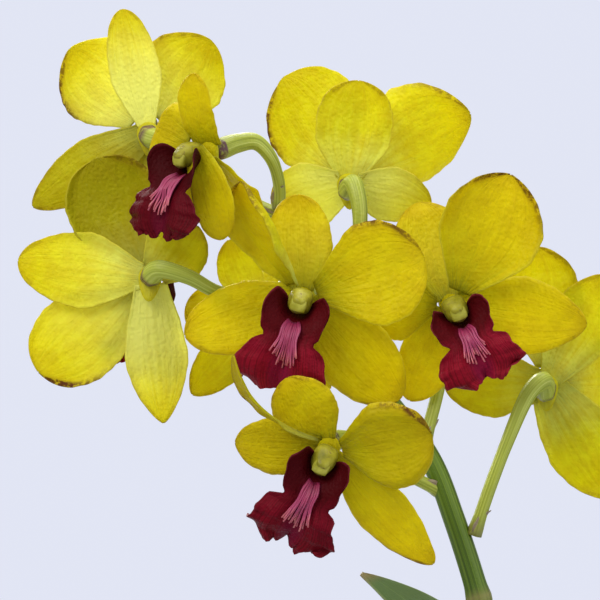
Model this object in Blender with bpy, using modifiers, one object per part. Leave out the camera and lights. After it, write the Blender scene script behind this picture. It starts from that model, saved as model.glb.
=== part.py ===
"""Potted orchid: a spray of nine flowers on one arching stem, canes and leaves, in a round clay pot.

Sizes given as plain constants are metres; the tables of stems, flowers, canes, leaves and roots are
millimetres and degrees.  +Z is up, the pot stands on z = 0, and the flowers mostly look along -Y or +Y.
"""
import math

import bmesh
import bpy
import numpy as np
from mathutils import Matrix, Vector

MM = 0.001
GAP = 0.0003

# Pot and growing medium
POT_HEIGHT = 0.110
POT_TOP_RADIUS = 0.058
POT_BASE_RADIUS = 0.042
POT_WALL = 0.005
POT_FLOOR = 0.007
RIM_HEIGHT = 0.020
RIM_OVERHANG = 0.004
DRAIN_RADIUS = 0.005
DRAIN_RING = 0.024
DRAIN_COUNT = 5
MEDIUM_TOP = 0.103
MEDIUM_CROWN = 0.0015

# Rhizome and canes
RHIZOME_RADIUS = 0.0055
RHIZOME_Z = MEDIUM_TOP + MEDIUM_CROWN + GAP + RHIZOME_RADIUS

# Pedicels, in millimetres: radius at the stem and behind the flower
PEDICEL_RADIUS = 1.5
PEDICEL_END_RADIUS = 2.3

# Flower parts
TEPAL_THICKNESS = 0.0009
LIP_THICKNESS = 0.0009
LIP_OUT = 0.0024
LIP_BELOW = 0.0042
LIP_FORWARD = 0.20
LIP_FOLD = 0.14
PETAL_OUT = 0.0026
PETAL_START = 0.0048
SEPAL_BACK = 0.0006
SEPAL_START = 0.0018
HUB_BACK = 0.0030
HUB_FRONT = 0.0010
HUB_RADIUS = 0.0034
COLUMN_LENGTH = 0.0080
COLUMN_RADIUS = 0.0023
COLUMN_START = 0.0013

# The lip from its base to its end: distance out, distance down, half width and how far the edges rise,
# in millimetres; once for a lip whose end hangs and once for one that reaches straight out
LIP_HANGING = [
    (0.0, 0.0, 2.0, 0.6), (2.2, 1.0, 5.8, 5.6), (4.6, 2.0, 8.6, 7.8), (6.8, 3.8, 9.2, 6.0),
    (8.2, 6.4, 8.2, 1.6), (8.6, 9.6, 11.0, -0.4), (8.0, 13.4, 12.6, -1.2), (6.4, 17.0, 11.2, -1.6),
    (4.8, 19.6, 6.0, -0.8),
]
LIP_LEVEL = [
    (0.0, 0.0, 2.0, 0.6), (2.4, 0.6, 5.2, 4.8), (5.2, 1.0, 7.6, 6.8), (8.0, 1.4, 8.0, 5.0),
    (11.0, 2.4, 7.2, 1.6), (14.2, 4.0, 9.0, -0.4), (17.4, 6.4, 10.2, -1.2), (19.8, 9.2, 8.8, -1.6),
    (21.2, 11.6, 4.6, -0.8),
]

# Main flower stem, base first: (x, y, z, radius) in millimetres
STEM_PATH = [
    (22.5, 4.0, 324.5, 3.1), (22.0, 4.5, 350.0, 3.0), (19.8, 5.5, 374.0, 3.0), (16.8, 6.5, 390.0, 3.0),
    (10.3, 8.0, 410.8, 2.9), (3.8, 10.0, 427.0, 2.8), (-7.9, 14.0, 443.0, 2.5), (-20.4, 17.0, 457.0, 2.3),
    (-29.0, 19.0, 471.0, 2.1), (-33.5, 19.0, 484.0, 1.9), (-35.5, 17.0, 494.0, 1.7),
]

# One flower each: hub position, the way it faces, the lip's downward direction, the lip's size, how far
# its end hangs (0 straight out, 1 down) and its share of full width, the pedicel's path from the stem,
# then the five tepals.
# A tepal is its tip from the hub, its width, how far the face is turned about its own length in
# degrees, its cup, its bulge towards the face and how pointed it is.
FLOWERS = {
    "a": {
        "hub": (-70.4, 24.0, 512.6), "faces": (-0.10, 0.94, 0.28), "lip_down": (0.12, 0.25, -1.0),
        "lip_size": 0.80, "lip_droop": 0.10, "lip_width": 1.00,
        "pedicel": [(-35.5, 17.5, 490.5), (-43.0, 19.5, 494.0), (-54.0, 18.5, 500.5), (-64.0, 15.5, 508.5)],
        "dorsal": ((-7.2, 3.0, 33.0), 16.0, 0, 0.14, 0.5, 0.20),
        "petal_left": ((-20.8, 13.0, 22.5), 25.0, 6, 0.16, 2.0, 0.05),
        "petal_right": ((15.4, 13.0, 25.0), 24.0, -4, 0.16, 2.0, 0.05),
        "lateral_left": ((-31.0, 3.0, -19.6), 15.5, 24, 0.18, 1.5, 0.55),
        "lateral_right": ((8.3, 4.0, -23.5), 14.0, 0, 0.16, 1.0, 0.45),
    },
    "b": {
        "hub": (-54.3, -4.0, 506.6), "faces": (-0.70, -0.70, -0.12), "lip_down": (-0.22, -0.05, -0.95),
        "lip_size": 1.05, "lip_droop": 0.50, "lip_width": 1.00,
        "pedicel": [(-35.5, 16.0, 493.0), (-35.6, 11.0, 499.0), (-37.5, 6.0, 505.0), (-41.5, 4.0, 509.2),
                    (-46.5, 2.6, 508.8)],
        "dorsal": ((-3.3, -8.0, 19.2), 10.0, 20, 0.12, 1.5, 0.05),
        "petal_left": ((-14.0, 7.0, 6.0), 16.0, 12, 0.10, 0.5, 0.10),
        "petal_right": ((4.2, -5.0, -23.0), 18.0, -10, 0.12, 0.5, 0.20),
        "lateral_left": ((-9.0, 9.0, -15.0), 12.0, 0, 0.12, 0.0, 0.40),
        "lateral_right": ((14.0, 8.0, -18.0), 15.5, 20, 0.12, -1.0, 0.30),
    },
    "c": {
        "hub": (-69.4, 9.0, 473.7), "faces": (-0.12, 0.97, -0.16), "lip_down": (-0.12, 0.20, -0.95),
        "lip_size": 0.95, "lip_droop": 0.75, "lip_width": 1.00,
        "pedicel": [(-30.5, 18.0, 473.5), (-41.0, 10.0, 469.0), (-51.0, 3.5, 470.0), (-59.0, 0.5, 474.0),
                    (-66.0, 1.0, 476.0)],
        "dorsal": ((-34.8, 4.0, 4.7), 20.0, 0, 0.15, 1.5, 0.20),
        "petal_left": ((-14.6, 8.0, 31.6), 26.0, 0, 0.18, 2.5, 0.00),
        "petal_right": ((-29.5, 3.5, -24.6), 24.0, 0, 0.16, 1.5, 0.10),
        "lateral_left": ((3.4, 2.0, -37.8), 16.5, 0, 0.16, 1.0, 0.60),
        "lateral_right": ((12.5, -9.0, 13.5), 17.5, 0, 0.12, 0.5, 0.10),
    },
    "d": {
        "hub": (-17.0, 25.0, 499.2), "faces": (0.05, 0.90, 0.42), "lip_down": (0.05, 0.20, -0.95),
        "lip_size": 0.80, "lip_droop": 0.00, "lip_width": 1.00,
        "pedicel": [(-17.5, 17.0, 453.5), (-15.5, 14.0, 468.0), (-14.4, 13.0, 482.0), (-14.3, 13.0, 492.0),
                    (-15.8, 15.5, 498.5)],
        "dorsal": ((2.6, 2.0, 27.2), 21.0, 0, 0.10, 0.5, 0.00),
        "petal_left": ((-17.8, 16.0, 29.0), 25.5, 0, 0.16, 2.5, 0.20),
        "petal_right": ((31.5, 15.0, 19.5), 27.0, 0, 0.16, 2.5, 0.05),
        "lateral_left": ((-20.3, 4.0, -6.8), 19.0, 0, 0.14, 1.0, 0.25),
        "lateral_right": ((22.0, 4.0, -6.4), 16.0, 0, 0.14, 1.0, 0.40),
    },
    "e": {
        "hub": (-29.2, 0.0, 468.5), "faces": (-0.10, -0.98, -0.05), "lip_down": (-0.27, -0.10, -0.95),
        "lip_size": 1.00, "lip_droop": 1.00, "lip_width": 0.98,
        "pedicel": [(-26.5, 18.0, 467.5), (-25.5, 13.0, 471.5), (-27.0, 8.5, 471.5)],
        "dorsal": ((-1.5, 2.0, 26.8), 17.0, 0, 0.14, 1.0, 0.10),
        "petal_left": ((-16.4, -13.0, 29.4), 21.0, -56, 0.18, 1.0, 0.35),
        "petal_right": ((31.0, -8.0, 10.6), 27.0, 0, 0.18, 2.5, 0.00),
        "lateral_left": ((-30.6, -1.0, -9.8), 18.5, 6, 0.14, 1.0, 0.30),
        "lateral_right": ((24.8, 2.0, -26.8), 20.0, 8, 0.14, 1.0, 0.10),
    },
    "f": {
        "hub": (9.5, 4.0, 466.7), "faces": (0.10, -0.98, -0.10), "lip_down": (0.40, -0.10, -0.92),
        "lip_size": 0.95, "lip_droop": 0.62, "lip_width": 1.00,
        "pedicel": [(2.5, 10.0, 430.0), (6.4, 12.5, 444.5), (8.5, 14.0, 458.0), (9.3, 12.5, 465.0)],
        "dorsal": ((-8.8, 3.0, 26.8), 19.0, 0, 0.14, 1.0, 0.15),
        "petal_left": ((-20.5, 1.0, 1.5), 20.0, 0, 0.14, 1.0, 0.15),
        "petal_right": ((15.1, -6.0, 33.8), 27.5, 0, 0.18, 2.5, 0.40),
        "lateral_left": ((-10.9, 4.0, -24.9), 16.0, 0, 0.14, 1.0, 0.30),
        "lateral_right": ((35.4, 2.0, -5.2), 20.0, 0, 0.14, 1.5, 0.50),
    },
    "g": {
        "hub": (-22.8, -14.0, 430.0), "faces": (-0.14, -0.92, -0.36), "lip_down": (-0.42, 0.20, -0.90),
        "lip_size": 1.08, "lip_droop": 0.98, "lip_width": 0.86,
        "pedicel": [(6.4, 9.0, 418.0), (0.0, 4.0, 421.5), (-9.0, -2.0, 426.5), (-17.0, -5.0, 431.5)],
        "dorsal": ((-10.5, -7.0, 17.5), 17.0, 0, 0.05, 0.0, 0.15),
        "petal_left": ((-24.0, -20.0, 24.0), 12.0, -40, 0.16, -0.5, 0.30),
        "petal_right": ((26.0, -12.0, 4.0), 24.0, 0, 0.30, 3.0, 0.00),
        "lateral_left": ((-23.9, 4.0, 1.0), 16.0, 0, 0.14, 0.5, 0.30),
        "lateral_right": ((27.0, 4.0, -30.0), 17.5, 8, 0.16, 1.0, 0.40),
    },
    "h": {
        "hub": (35.4, 18.0, 445.6), "faces": (0.16, 0.92, 0.34), "lip_down": (0.0, 0.25, -0.95),
        "lip_size": 0.80, "lip_droop": 0.00, "lip_width": 1.00,
        "pedicel": [(15.5, 7.0, 406.5), (20.0, 5.5, 420.0), (25.0, 5.5, 433.0), (29.5, 6.0, 443.0),
                    (33.5, 8.0, 446.8)],
        "dorsal": ((16.5, 4.0, 28.5), 18.0, 0, 0.14, 1.0, 0.20),
        "petal_left": ((-2.0, 11.0, 36.0), 21.0, 0, 0.18, 2.0, 0.20),
        "petal_right": ((30.0, 11.0, 4.0), 23.0, 0, 0.18, 2.0, 0.10),
        "lateral_left": ((-27.0, 4.0, 0.0), 19.0, 0, 0.14, 1.0, 0.30),
        "lateral_right": ((17.5, 4.0, -29.5), 21.0, 0, 0.14, 1.0, 0.35),
    },
    "i": {
        "hub": (-41.0, 36.0, 462.5), "faces": (-0.25, 0.95, -0.15), "lip_down": (-0.10, 0.35, -0.93),
        "lip_size": 0.70, "lip_droop": 0.10, "lip_width": 1.00,
        "pedicel": [(-29.5, 19.5, 472.0), (-33.0, 20.0, 469.5), (-36.5, 22.5, 466.0), (-39.3, 27.5, 463.6)],
        "dorsal": ((-8.3, 3.0, 21.5), 12.5, 0, 0.14, 1.0, 0.25),
        "petal_left": ((-20.0, 8.0, 4.0), 15.0, 0, 0.14, 1.5, 0.20),
        "petal_right": ((12.0, 9.0, 17.0), 14.0, 0, 0.14, 1.5, 0.20),
        "lateral_left": ((-18.0, 2.0, -19.8), 13.0, 0, 0.14, 0.5, 0.40),
        "lateral_right": ((19.0, 2.0, -18.5), 9.5, 0, 0.14, 0.5, 0.40),
    },
}

# Canes, base first: (x, y, z, radius) in millimetres, rising from the rhizome
CANES = [
    [(4.0, 2.0, 110.0, 6.0), (6.0, 2.5, 135.0, 8.0), (10.0, 3.5, 175.0, 8.6), (15.0, 4.0, 225.0, 7.8),
     (19.5, 4.0, 275.0, 6.2), (22.5, 4.0, 321.0, 4.4)],
    [(-15.0, 4.0, 110.0, 6.0), (-18.0, 6.0, 130.0, 8.0), (-24.0, 9.0, 165.0, 8.2), (-31.0, 12.0, 205.0, 6.8),
     (-36.0, 14.0, 238.0, 4.6)],
    [(22.0, -3.0, 110.0, 5.5), (26.0, -6.0, 128.0, 7.2), (33.0, -11.0, 155.0, 7.0), (39.0, -15.0, 182.0, 4.4)],
]
RHIZOME = [(-24.0, 5.5, 5.0), (-8.0, 3.0, 5.5), (10.0, 1.0, 5.5), (28.0, -4.5, 5.0)]

# Leaves: base, tip (millimetres, world), width, direction the arch rises to, height of the arch and how
# far the blade is turned about its own length in degrees
LEAVES = {
    "leaf_1": ((21.0, 13.0, 303.0), (-13.0, 17.0, 396.0), 28.0, (0.80, 0.30, 0.45), 20.0, -60),
    "leaf_2": ((29.0, 3.0, 296.0), (118.0, -14.0, 352.0), 29.0, (-0.40, -0.10, 0.90), 22.0, 0),
    "leaf_3": ((12.0, -1.0, 262.0), (-92.0, -30.0, 300.0), 30.0, (0.35, -0.10, 0.92), 24.0, 0),
    "leaf_4": ((27.0, 8.0, 252.0), (102.0, 52.0, 262.0), 30.0, (-0.25, -0.20, 0.95), 26.0, 0),
    "leaf_5": ((-43.0, 12.0, 229.0), (-124.0, 18.0, 252.0), 26.0, (0.30, 0.0, 0.95), 20.0, 0),
    "leaf_6": ((-31.0, 21.0, 221.0), (14.0, 88.0, 262.0), 26.0, (-0.15, -0.40, 0.90), 18.0, 0),
    "leaf_7": ((45.5, -18.0, 172.0), (100.0, -62.0, 198.0), 24.0, (-0.30, 0.25, 0.92), 16.0, 0),
}

# Surface roots lying on the medium, rhizome end first: (x, y) in millimetres and the root's radius
ROOTS = {
    "root_1": ([(-4.0, -5.6), (-8.0, -18.0), (-20.0, -30.0), (-34.0, -33.0)], 1.6),
    "root_2": ([(8.0, 9.8), (14.0, 22.0), (28.0, 31.0), (38.0, 28.0)], 1.5),
}

MATERIALS = {
    "petal_yellow": ((0.80, 0.66, 0.02), 0.45),
    "lip_maroon": ((0.20, 0.01, 0.03), 0.50),
    "column_green": ((0.55, 0.55, 0.12), 0.40),
    "stem_green": ((0.18, 0.28, 0.05), 0.45),
    "leaf_green": ((0.10, 0.22, 0.05), 0.45),
    "cane_green": ((0.25, 0.30, 0.09), 0.55),
    "root_grey": ((0.60, 0.60, 0.52), 0.80),
    "bark": ((0.20, 0.11, 0.06), 0.90),
    "clay": ((0.58, 0.25, 0.13), 0.85),
}


def clear_scene():
    """Remove every object already in the scene."""
    for item in list(bpy.data.objects):
        bpy.data.objects.remove(item, do_unlink=True)


def new_collection(name):
    """A collection linked to the scene."""
    made = bpy.data.collections.new(name)
    bpy.context.scene.collection.children.link(made)
    return made


def new_material(name, colour, roughness):
    """A plain principled material."""
    made = bpy.data.materials.new(name)
    made.use_nodes = True
    shader = made.node_tree.nodes["Principled BSDF"]
    shader.inputs["Base Color"].default_value = (*colour, 1.0)
    shader.inputs["Roughness"].default_value = roughness
    shader.inputs["Metallic"].default_value = 0.0
    return made


def vec(point):
    """A vector in metres from a point in millimetres."""
    return Vector(point[:3]) * MM


def add_object(name, mesh, material, collection):
    """Link a mesh as a named, smooth shaded object."""
    made = bpy.data.objects.new(name, mesh)
    collection.objects.link(made)
    mesh.materials.clear()
    mesh.materials.append(material)
    for face in mesh.polygons:
        face.use_smooth = True
    return made


def applied_mesh(source, name):
    """The object's evaluated mesh, welded and in world coordinates; the object itself is removed."""
    graph = bpy.context.evaluated_depsgraph_get()
    mesh = bpy.data.meshes.new_from_object(source.evaluated_get(graph))
    mesh.name = name
    mesh.transform(source.matrix_world)
    shape = bmesh.new()
    shape.from_mesh(mesh)
    bmesh.ops.remove_doubles(shape, verts=shape.verts, dist=0.000002)
    bmesh.ops.recalc_face_normals(shape, faces=shape.faces)
    shape.to_mesh(mesh)
    shape.free()
    bpy.data.objects.remove(source, do_unlink=True)
    return mesh


def tube_mesh(name, points, sides):
    """A closed tube through (x, y, z, radius) points given in millimetres."""
    curve = bpy.data.curves.new(name, "CURVE")
    curve.dimensions = "3D"
    curve.bevel_depth = 1.0
    curve.bevel_resolution = sides // 2 - 2
    curve.use_fill_caps = True
    spline = curve.splines.new("POLY")
    spline.points.add(len(points) - 1)
    for place, point in zip(spline.points, points):
        place.co = (point[0] * MM, point[1] * MM, point[2] * MM, 1.0)
        place.radius = point[3] * MM
    holder = bpy.data.objects.new(name, curve)
    bpy.context.scene.collection.objects.link(holder)
    return applied_mesh(holder, name)


def smooth_path(points, count):
    """Evenly spread samples of a rounded path through the points, all columns interpolated alike."""
    rows = np.array(points, dtype=float)
    padded = np.vstack([2 * rows[0] - rows[1], rows, 2 * rows[-1] - rows[-2]])
    samples = []
    for step in range(count):
        place = step / (count - 1) * (len(rows) - 1)
        index = min(int(place), len(rows) - 2)
        t = place - index
        before, start, end, after = padded[index:index + 4]
        samples.append(0.5 * (2 * start + (end - before) * t
                              + (2 * before - 5 * start + 4 * end - after) * t ** 2
                              + (3 * start - before - 3 * end + after) * t ** 3))
    return [tuple(row) for row in samples]


def tepal_outline(v, base, widest, point):
    """Half width of a tepal at v along its length, as a share of its greatest half width."""
    if v < widest:
        return base + (1.0 - base) * math.sin(math.pi / 2 * v / widest) ** 1.2
    t = (v - widest) / (1.0 - widest)
    return (1.0 - point) * math.sqrt(max(1.0 - t ** 2.3, 0.0)) + point * (1.0 - t ** 1.6)


def blade_axes(start, tip, face, turn):
    """Directions along, across and out of a blade's face, the face turned about the blade's length."""
    along = (tip - start).normalized()
    across = along.cross(face).normalized()
    out = across.cross(along).normalized()
    spin = Matrix.Rotation(math.radians(turn), 3, along)
    return along, spin @ across, spin @ out


def blade_mesh(name, start, tip, face, width, turn, cup, bulge, outline, cells, thickness):
    """A closed, gently cupped blade from start to tip, thickened about its middle surface."""
    arch = blade_axes(start, tip, face, 0.0)[2]
    along, across, out = blade_axes(start, tip, face, turn)
    length = (tip - start).length
    shape = bmesh.new()
    bmesh.ops.create_grid(shape, x_segments=cells[0], y_segments=cells[1], size=1.0)
    for vertex in shape.verts:
        u = vertex.co.x
        v = 1.0 - ((1.0 - vertex.co.y) / 2) ** 1.35
        half = max(width / 2 * outline(v), 0.0005)
        vertex.co = (start + along * (length * v) + across * (u * half)
                     + out * (cup * half * u * u) + arch * (bulge * 4 * v * (1 - v)))
    mesh = bpy.data.meshes.new(name)
    shape.to_mesh(mesh)
    shape.free()
    holder = bpy.data.objects.new(name, mesh)
    bpy.context.scene.collection.objects.link(holder)
    shell = holder.modifiers.new("thickness", "SOLIDIFY")
    shell.thickness = thickness
    shell.offset = 0.0
    return applied_mesh(holder, name)


def turned_mesh(name, profile, sides, direction, origin, closed_profile=False):
    """A profile of (radius, height) spun about the direction through the origin."""
    shape = bmesh.new()
    verts = [shape.verts.new((radius, 0.0, height)) for radius, height in profile]
    pairs = list(zip(verts, verts[1:]))
    if closed_profile:
        pairs.append((verts[-1], verts[0]))
    for first, second in pairs:
        shape.edges.new((first, second))
    mesh = bpy.data.meshes.new(name)
    shape.to_mesh(mesh)
    shape.free()
    holder = bpy.data.objects.new(name, mesh)
    bpy.context.scene.collection.objects.link(holder)
    turn = holder.modifiers.new("turn", "SCREW")
    turn.steps = sides
    turn.render_steps = sides
    turn.use_merge_vertices = True
    turn.merge_threshold = 0.00005
    turn.use_normal_calculate = True
    holder.matrix_world = Matrix.Translation(origin) @ direction.to_track_quat("Z", "Y").to_matrix().to_4x4()
    bpy.context.view_layer.update()
    return applied_mesh(holder, name)


def union(name, meshes, material, collection, cutters):
    """Join closed meshes into one body."""
    body = add_object(name, meshes[0], material, collection)
    for index, mesh in enumerate(meshes[1:]):
        part = add_object(f"{name}_join_{index}", mesh, material, cutters)
        part.hide_render = True
        part.display_type = "WIRE"
        join = body.modifiers.new(f"join_{index}", "BOOLEAN")
        join.operation = "UNION"
        join.solver = "EXACT"
        join.object = part
    return body


def tepal_mesh(name, flower, part, inner):
    """One tepal of a flower; inner tepals start clear of the hub and in front of the outer three."""
    tip_offset, width, turn, cup, bulge, point = flower[part]
    face = Vector(flower["faces"]).normalized()
    hub = vec(flower["hub"])
    offset = vec(tip_offset)
    flat = (offset - face * offset.dot(face)).normalized()
    if inner:
        start = hub + face * PETAL_OUT + flat * PETAL_START
    else:
        start = hub + flat * SEPAL_START - face * SEPAL_BACK
    base_share = 0.16 if inner else (0.36 if part == "dorsal" else 0.52)
    widest = 0.60 if inner else 0.52

    def outline(v):
        return tepal_outline(v, base_share, widest, point)

    return blade_mesh(name, start, hub + offset, face, width * MM, turn, cup, bulge * MM, outline,
                      (4, 6), TEPAL_THICKNESS)


def hub_meshes(name, flower):
    """The joint where the outer tepals meet, with the short chin below it."""
    face = Vector(flower["faces"]).normalized()
    hub = vec(flower["hub"])
    down = Vector(flower["lip_down"])
    down = (down - face * down.dot(face)).normalized()
    profile = [(0.0, HUB_FRONT), (HUB_RADIUS, HUB_FRONT), (HUB_RADIUS, -0.0010), (0.0022, -HUB_BACK),
               (0.0, -HUB_BACK)]
    joint = turned_mesh(f"{name}_joint", profile, 10, face, hub)
    chin_way = (down * 0.96 - face * 0.28).normalized()
    chin_profile = [(0.0, 0.0066), (0.0009, 0.0063), (0.0019, 0.0042), (0.0022, 0.0010), (0.0, 0.0010)]
    chin = turned_mesh(f"{name}_chin", chin_profile, 8, chin_way, hub - face * 0.0004)
    return [joint, chin]


def lip_mesh(name, flower):
    """The lip: a trough beside the column whose end spreads and hangs as a broad lobe."""
    face = Vector(flower["faces"]).normalized()
    hub = vec(flower["hub"])
    down = Vector(flower["lip_down"])
    down = (down - face * down.dot(face)).normalized()
    side = face.cross(down).normalized()
    droop = flower["lip_droop"]
    size = flower["lip_size"] * MM
    path = [[hanging * droop + level * (1.0 - droop) for hanging, level in zip(low, high)]
            for low, high in zip(LIP_HANGING, LIP_LEVEL)]
    start = hub + face * LIP_OUT + down * LIP_BELOW
    shape = bmesh.new()
    bmesh.ops.create_grid(shape, x_segments=6, y_segments=len(path) - 1, size=1.0)
    for vertex in shape.verts:
        u = vertex.co.x
        out, low, half, lift = path[int(round((vertex.co.y + 1.0) / 2 * (len(path) - 1)))]
        rise = abs(u) ** 1.6 * lift
        folded = LIP_FOLD * abs(u) if lift > 0 else 0.0
        spread = u * half * flower["lip_width"] * (1.0 - folded)
        vertex.co = (start + face * ((out + LIP_FORWARD * rise) * size) + down * ((low - rise) * size)
                     + side * (spread * size))
    mesh = bpy.data.meshes.new(name)
    shape.to_mesh(mesh)
    shape.free()
    holder = bpy.data.objects.new(name, mesh)
    bpy.context.scene.collection.objects.link(holder)
    shell = holder.modifiers.new("thickness", "SOLIDIFY")
    shell.thickness = LIP_THICKNESS
    shell.offset = 0.0
    return applied_mesh(holder, name)


def column_mesh(name, flower):
    """The short column in the middle of the flower."""
    face = Vector(flower["faces"]).normalized()
    hub = vec(flower["hub"])
    half = COLUMN_LENGTH / 2
    profile = [(0.0, half), (COLUMN_RADIUS * 0.62, half), (COLUMN_RADIUS, half * 0.62),
               (COLUMN_RADIUS, -half * 0.62), (COLUMN_RADIUS * 0.62, -half), (0.0, -half)]
    return turned_mesh(name, profile, 8, face, hub + face * (COLUMN_START + half))


def build_flowers(collection, cutters, materials):
    """Sepals, petals, lip and column of every flower."""
    for letter, flower in FLOWERS.items():
        name = f"flower_{letter}"
        outer = [tepal_mesh(f"{name}_{part}", flower, part, False)
                 for part in ("dorsal", "lateral_left", "lateral_right")]
        union(f"{name}_sepals", hub_meshes(name, flower) + outer, materials["petal_yellow"], collection, cutters)
        for part in ("petal_left", "petal_right"):
            mesh = tepal_mesh(f"{name}_{part}", flower, part, True)
            add_object(f"{name}_{part}", mesh, materials["petal_yellow"], collection)
        add_object(f"{name}_lip", lip_mesh(f"{name}_lip", flower), materials["lip_maroon"], collection)
        add_object(f"{name}_column", column_mesh(f"{name}_column", flower), materials["column_green"], collection)


def build_flower_stem(collection, cutters, materials):
    """The arching stem and the nine pedicels that grow from it, one body."""
    meshes = [tube_mesh("flower_stem_main", smooth_path(STEM_PATH, 18), 10)]
    for letter, flower in FLOWERS.items():
        face = Vector(flower["faces"]).normalized()
        path = [(*point, PEDICEL_RADIUS) for point in flower["pedicel"]]
        path[-1] = (*flower["pedicel"][-1], (PEDICEL_RADIUS + PEDICEL_END_RADIUS) / 2)
        for back in (0.0022, GAP):
            end = vec(flower["hub"]) - face * (HUB_BACK + back)
            path.append((*(end / MM), PEDICEL_END_RADIUS))
        samples = smooth_path(path[:-1], 9) + path[-1:]
        meshes.append(tube_mesh(f"pedicel_{letter}", samples, 8))
    union("flower_stem", meshes, materials["stem_green"], collection, cutters)


def build_canes(collection, cutters, materials):
    """Three canes rising from one short rhizome, grown as one body."""
    rhizome = [(x, y, RHIZOME_Z / MM, radius) for x, y, radius in RHIZOME]
    meshes = [tube_mesh("rhizome", smooth_path(rhizome, 7), 10)]
    for index, cane in enumerate(CANES):
        meshes.append(tube_mesh(f"cane_{index}", smooth_path(cane, 3 * len(cane)), 12))
    union("canes", meshes, materials["cane_green"], collection, cutters)


def build_leaves(collection, materials):
    """Strap leaves held at the canes' upper joints."""
    def outline(v):
        return tepal_outline(v, 0.30, 0.45, 0.55)

    for name, (base, tip, width, face, bulge, turn) in LEAVES.items():
        mesh = blade_mesh(name, vec(base), vec(tip), Vector(face).normalized(), width * MM, turn, 0.22,
                          bulge * MM, outline, (4, 8), 0.0014)
        add_object(name, mesh, materials["leaf_green"], collection)


def build_roots(collection, materials):
    """Two roots that wander over the medium."""
    for name, (places, radius) in ROOTS.items():
        height = (MEDIUM_TOP + MEDIUM_CROWN + GAP) / MM + radius
        path = [(x, y, height, radius) for x, y in places]
        mesh = tube_mesh(name, smooth_path(path, 9), 8)
        add_object(name, mesh, materials["root_grey"], collection)


def build_pot(collection, cutters, materials):
    """The turned pot with its drain holes, and the medium that fills it."""
    slope = (POT_TOP_RADIUS - POT_BASE_RADIUS) / POT_HEIGHT
    rim_low = POT_HEIGHT - RIM_HEIGHT

    def wall(height):
        return POT_BASE_RADIUS + slope * height

    rim = POT_TOP_RADIUS + RIM_OVERHANG
    profile = [
        (POT_TOP_RADIUS - POT_WALL + 0.001, POT_HEIGHT), (rim - 0.0012, POT_HEIGHT), (rim, POT_HEIGHT - 0.0012),
        (rim - 0.0008, rim_low + 0.001), (rim - 0.0020, rim_low), (wall(rim_low), rim_low - 0.0010),
        (POT_BASE_RADIUS + 0.0002, 0.0015), (POT_BASE_RADIUS - 0.0013, 0.0), (0.0, 0.0),
    ]
    inside = [(0.0, POT_FLOOR), (wall(POT_FLOOR) - POT_WALL, POT_FLOOR)]
    outer = turned_mesh("pot", profile + inside, 32, Vector((0, 0, 1)), Vector((0, 0, 0)), True)
    pot = add_object("pot", outer, materials["clay"], collection)
    for index in range(DRAIN_COUNT):
        angle = 2 * math.pi * index / DRAIN_COUNT
        place = Vector((DRAIN_RING * math.cos(angle), DRAIN_RING * math.sin(angle), -0.002))
        hole_profile = [(0.0, 0.012), (DRAIN_RADIUS, 0.012), (DRAIN_RADIUS, 0.0), (0.0, 0.0)]
        mesh = turned_mesh(f"drain_{index}", hole_profile, 10, Vector((0, 0, 1)), place)
        hole = add_object(f"drain_{index}", mesh, materials["clay"], cutters)
        hole.hide_render = True
        hole.display_type = "WIRE"
        cut = pot.modifiers.new(f"drain_{index}", "BOOLEAN")
        cut.operation = "DIFFERENCE"
        cut.solver = "EXACT"
        cut.object = hole
    inner_slope = (POT_TOP_RADIUS - POT_WALL + 0.001 - (wall(POT_FLOOR) - POT_WALL)) / (POT_HEIGHT - POT_FLOOR)
    low = POT_FLOOR + GAP
    low_radius = wall(POT_FLOOR) - POT_WALL + inner_slope * GAP - 2 * GAP
    top_radius = low_radius + inner_slope * (MEDIUM_TOP - low)
    medium = [(0.0, MEDIUM_TOP + MEDIUM_CROWN), (top_radius * 0.6, MEDIUM_TOP + MEDIUM_CROWN * 0.7),
              (top_radius, MEDIUM_TOP), (low_radius, low), (0.0, low)]
    mesh = turned_mesh("medium", medium, 32, Vector((0, 0, 1)), Vector((0, 0, 0)))
    add_object("medium", mesh, materials["bark"], collection)


def build():
    """Build the whole plant in its pot."""
    clear_scene()
    collection = new_collection("potted_orchid")
    cutters = new_collection("cutters")
    materials = {name: new_material(name, colour, rough) for name, (colour, rough) in MATERIALS.items()}
    build_pot(collection, cutters, materials)
    build_roots(collection, materials)
    build_canes(collection, cutters, materials)
    build_leaves(collection, materials)
    build_flower_stem(collection, cutters, materials)
    build_flowers(collection, cutters, materials)


build()
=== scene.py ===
"""Looks of the potted orchid: nine yellow flowers with dark red lips on an arching stem, canes, leaves,
roots, bark and a clay pot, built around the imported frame.  Lengths are metres unless a table says
millimetres."""

import math
import random

import bmesh
import bpy
import numpy as np
from mathutils import Matrix, Vector


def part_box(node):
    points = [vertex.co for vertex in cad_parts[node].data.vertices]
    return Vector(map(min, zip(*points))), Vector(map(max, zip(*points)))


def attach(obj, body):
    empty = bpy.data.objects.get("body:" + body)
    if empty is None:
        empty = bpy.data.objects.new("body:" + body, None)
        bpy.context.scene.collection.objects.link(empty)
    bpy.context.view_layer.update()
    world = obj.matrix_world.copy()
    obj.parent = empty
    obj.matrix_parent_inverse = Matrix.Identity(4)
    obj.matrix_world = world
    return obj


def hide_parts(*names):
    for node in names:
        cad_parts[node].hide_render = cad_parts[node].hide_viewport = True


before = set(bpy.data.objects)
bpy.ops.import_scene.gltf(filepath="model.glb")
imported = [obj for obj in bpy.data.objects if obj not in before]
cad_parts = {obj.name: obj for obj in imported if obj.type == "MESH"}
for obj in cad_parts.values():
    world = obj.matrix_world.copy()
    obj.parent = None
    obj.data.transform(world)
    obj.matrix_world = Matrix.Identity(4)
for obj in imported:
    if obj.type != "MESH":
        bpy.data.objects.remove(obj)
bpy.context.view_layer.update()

MM = 0.001
HUB_BACK = 0.0030
COLUMN_MIDDLE = 0.0053
GAP = 0.0003

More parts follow.
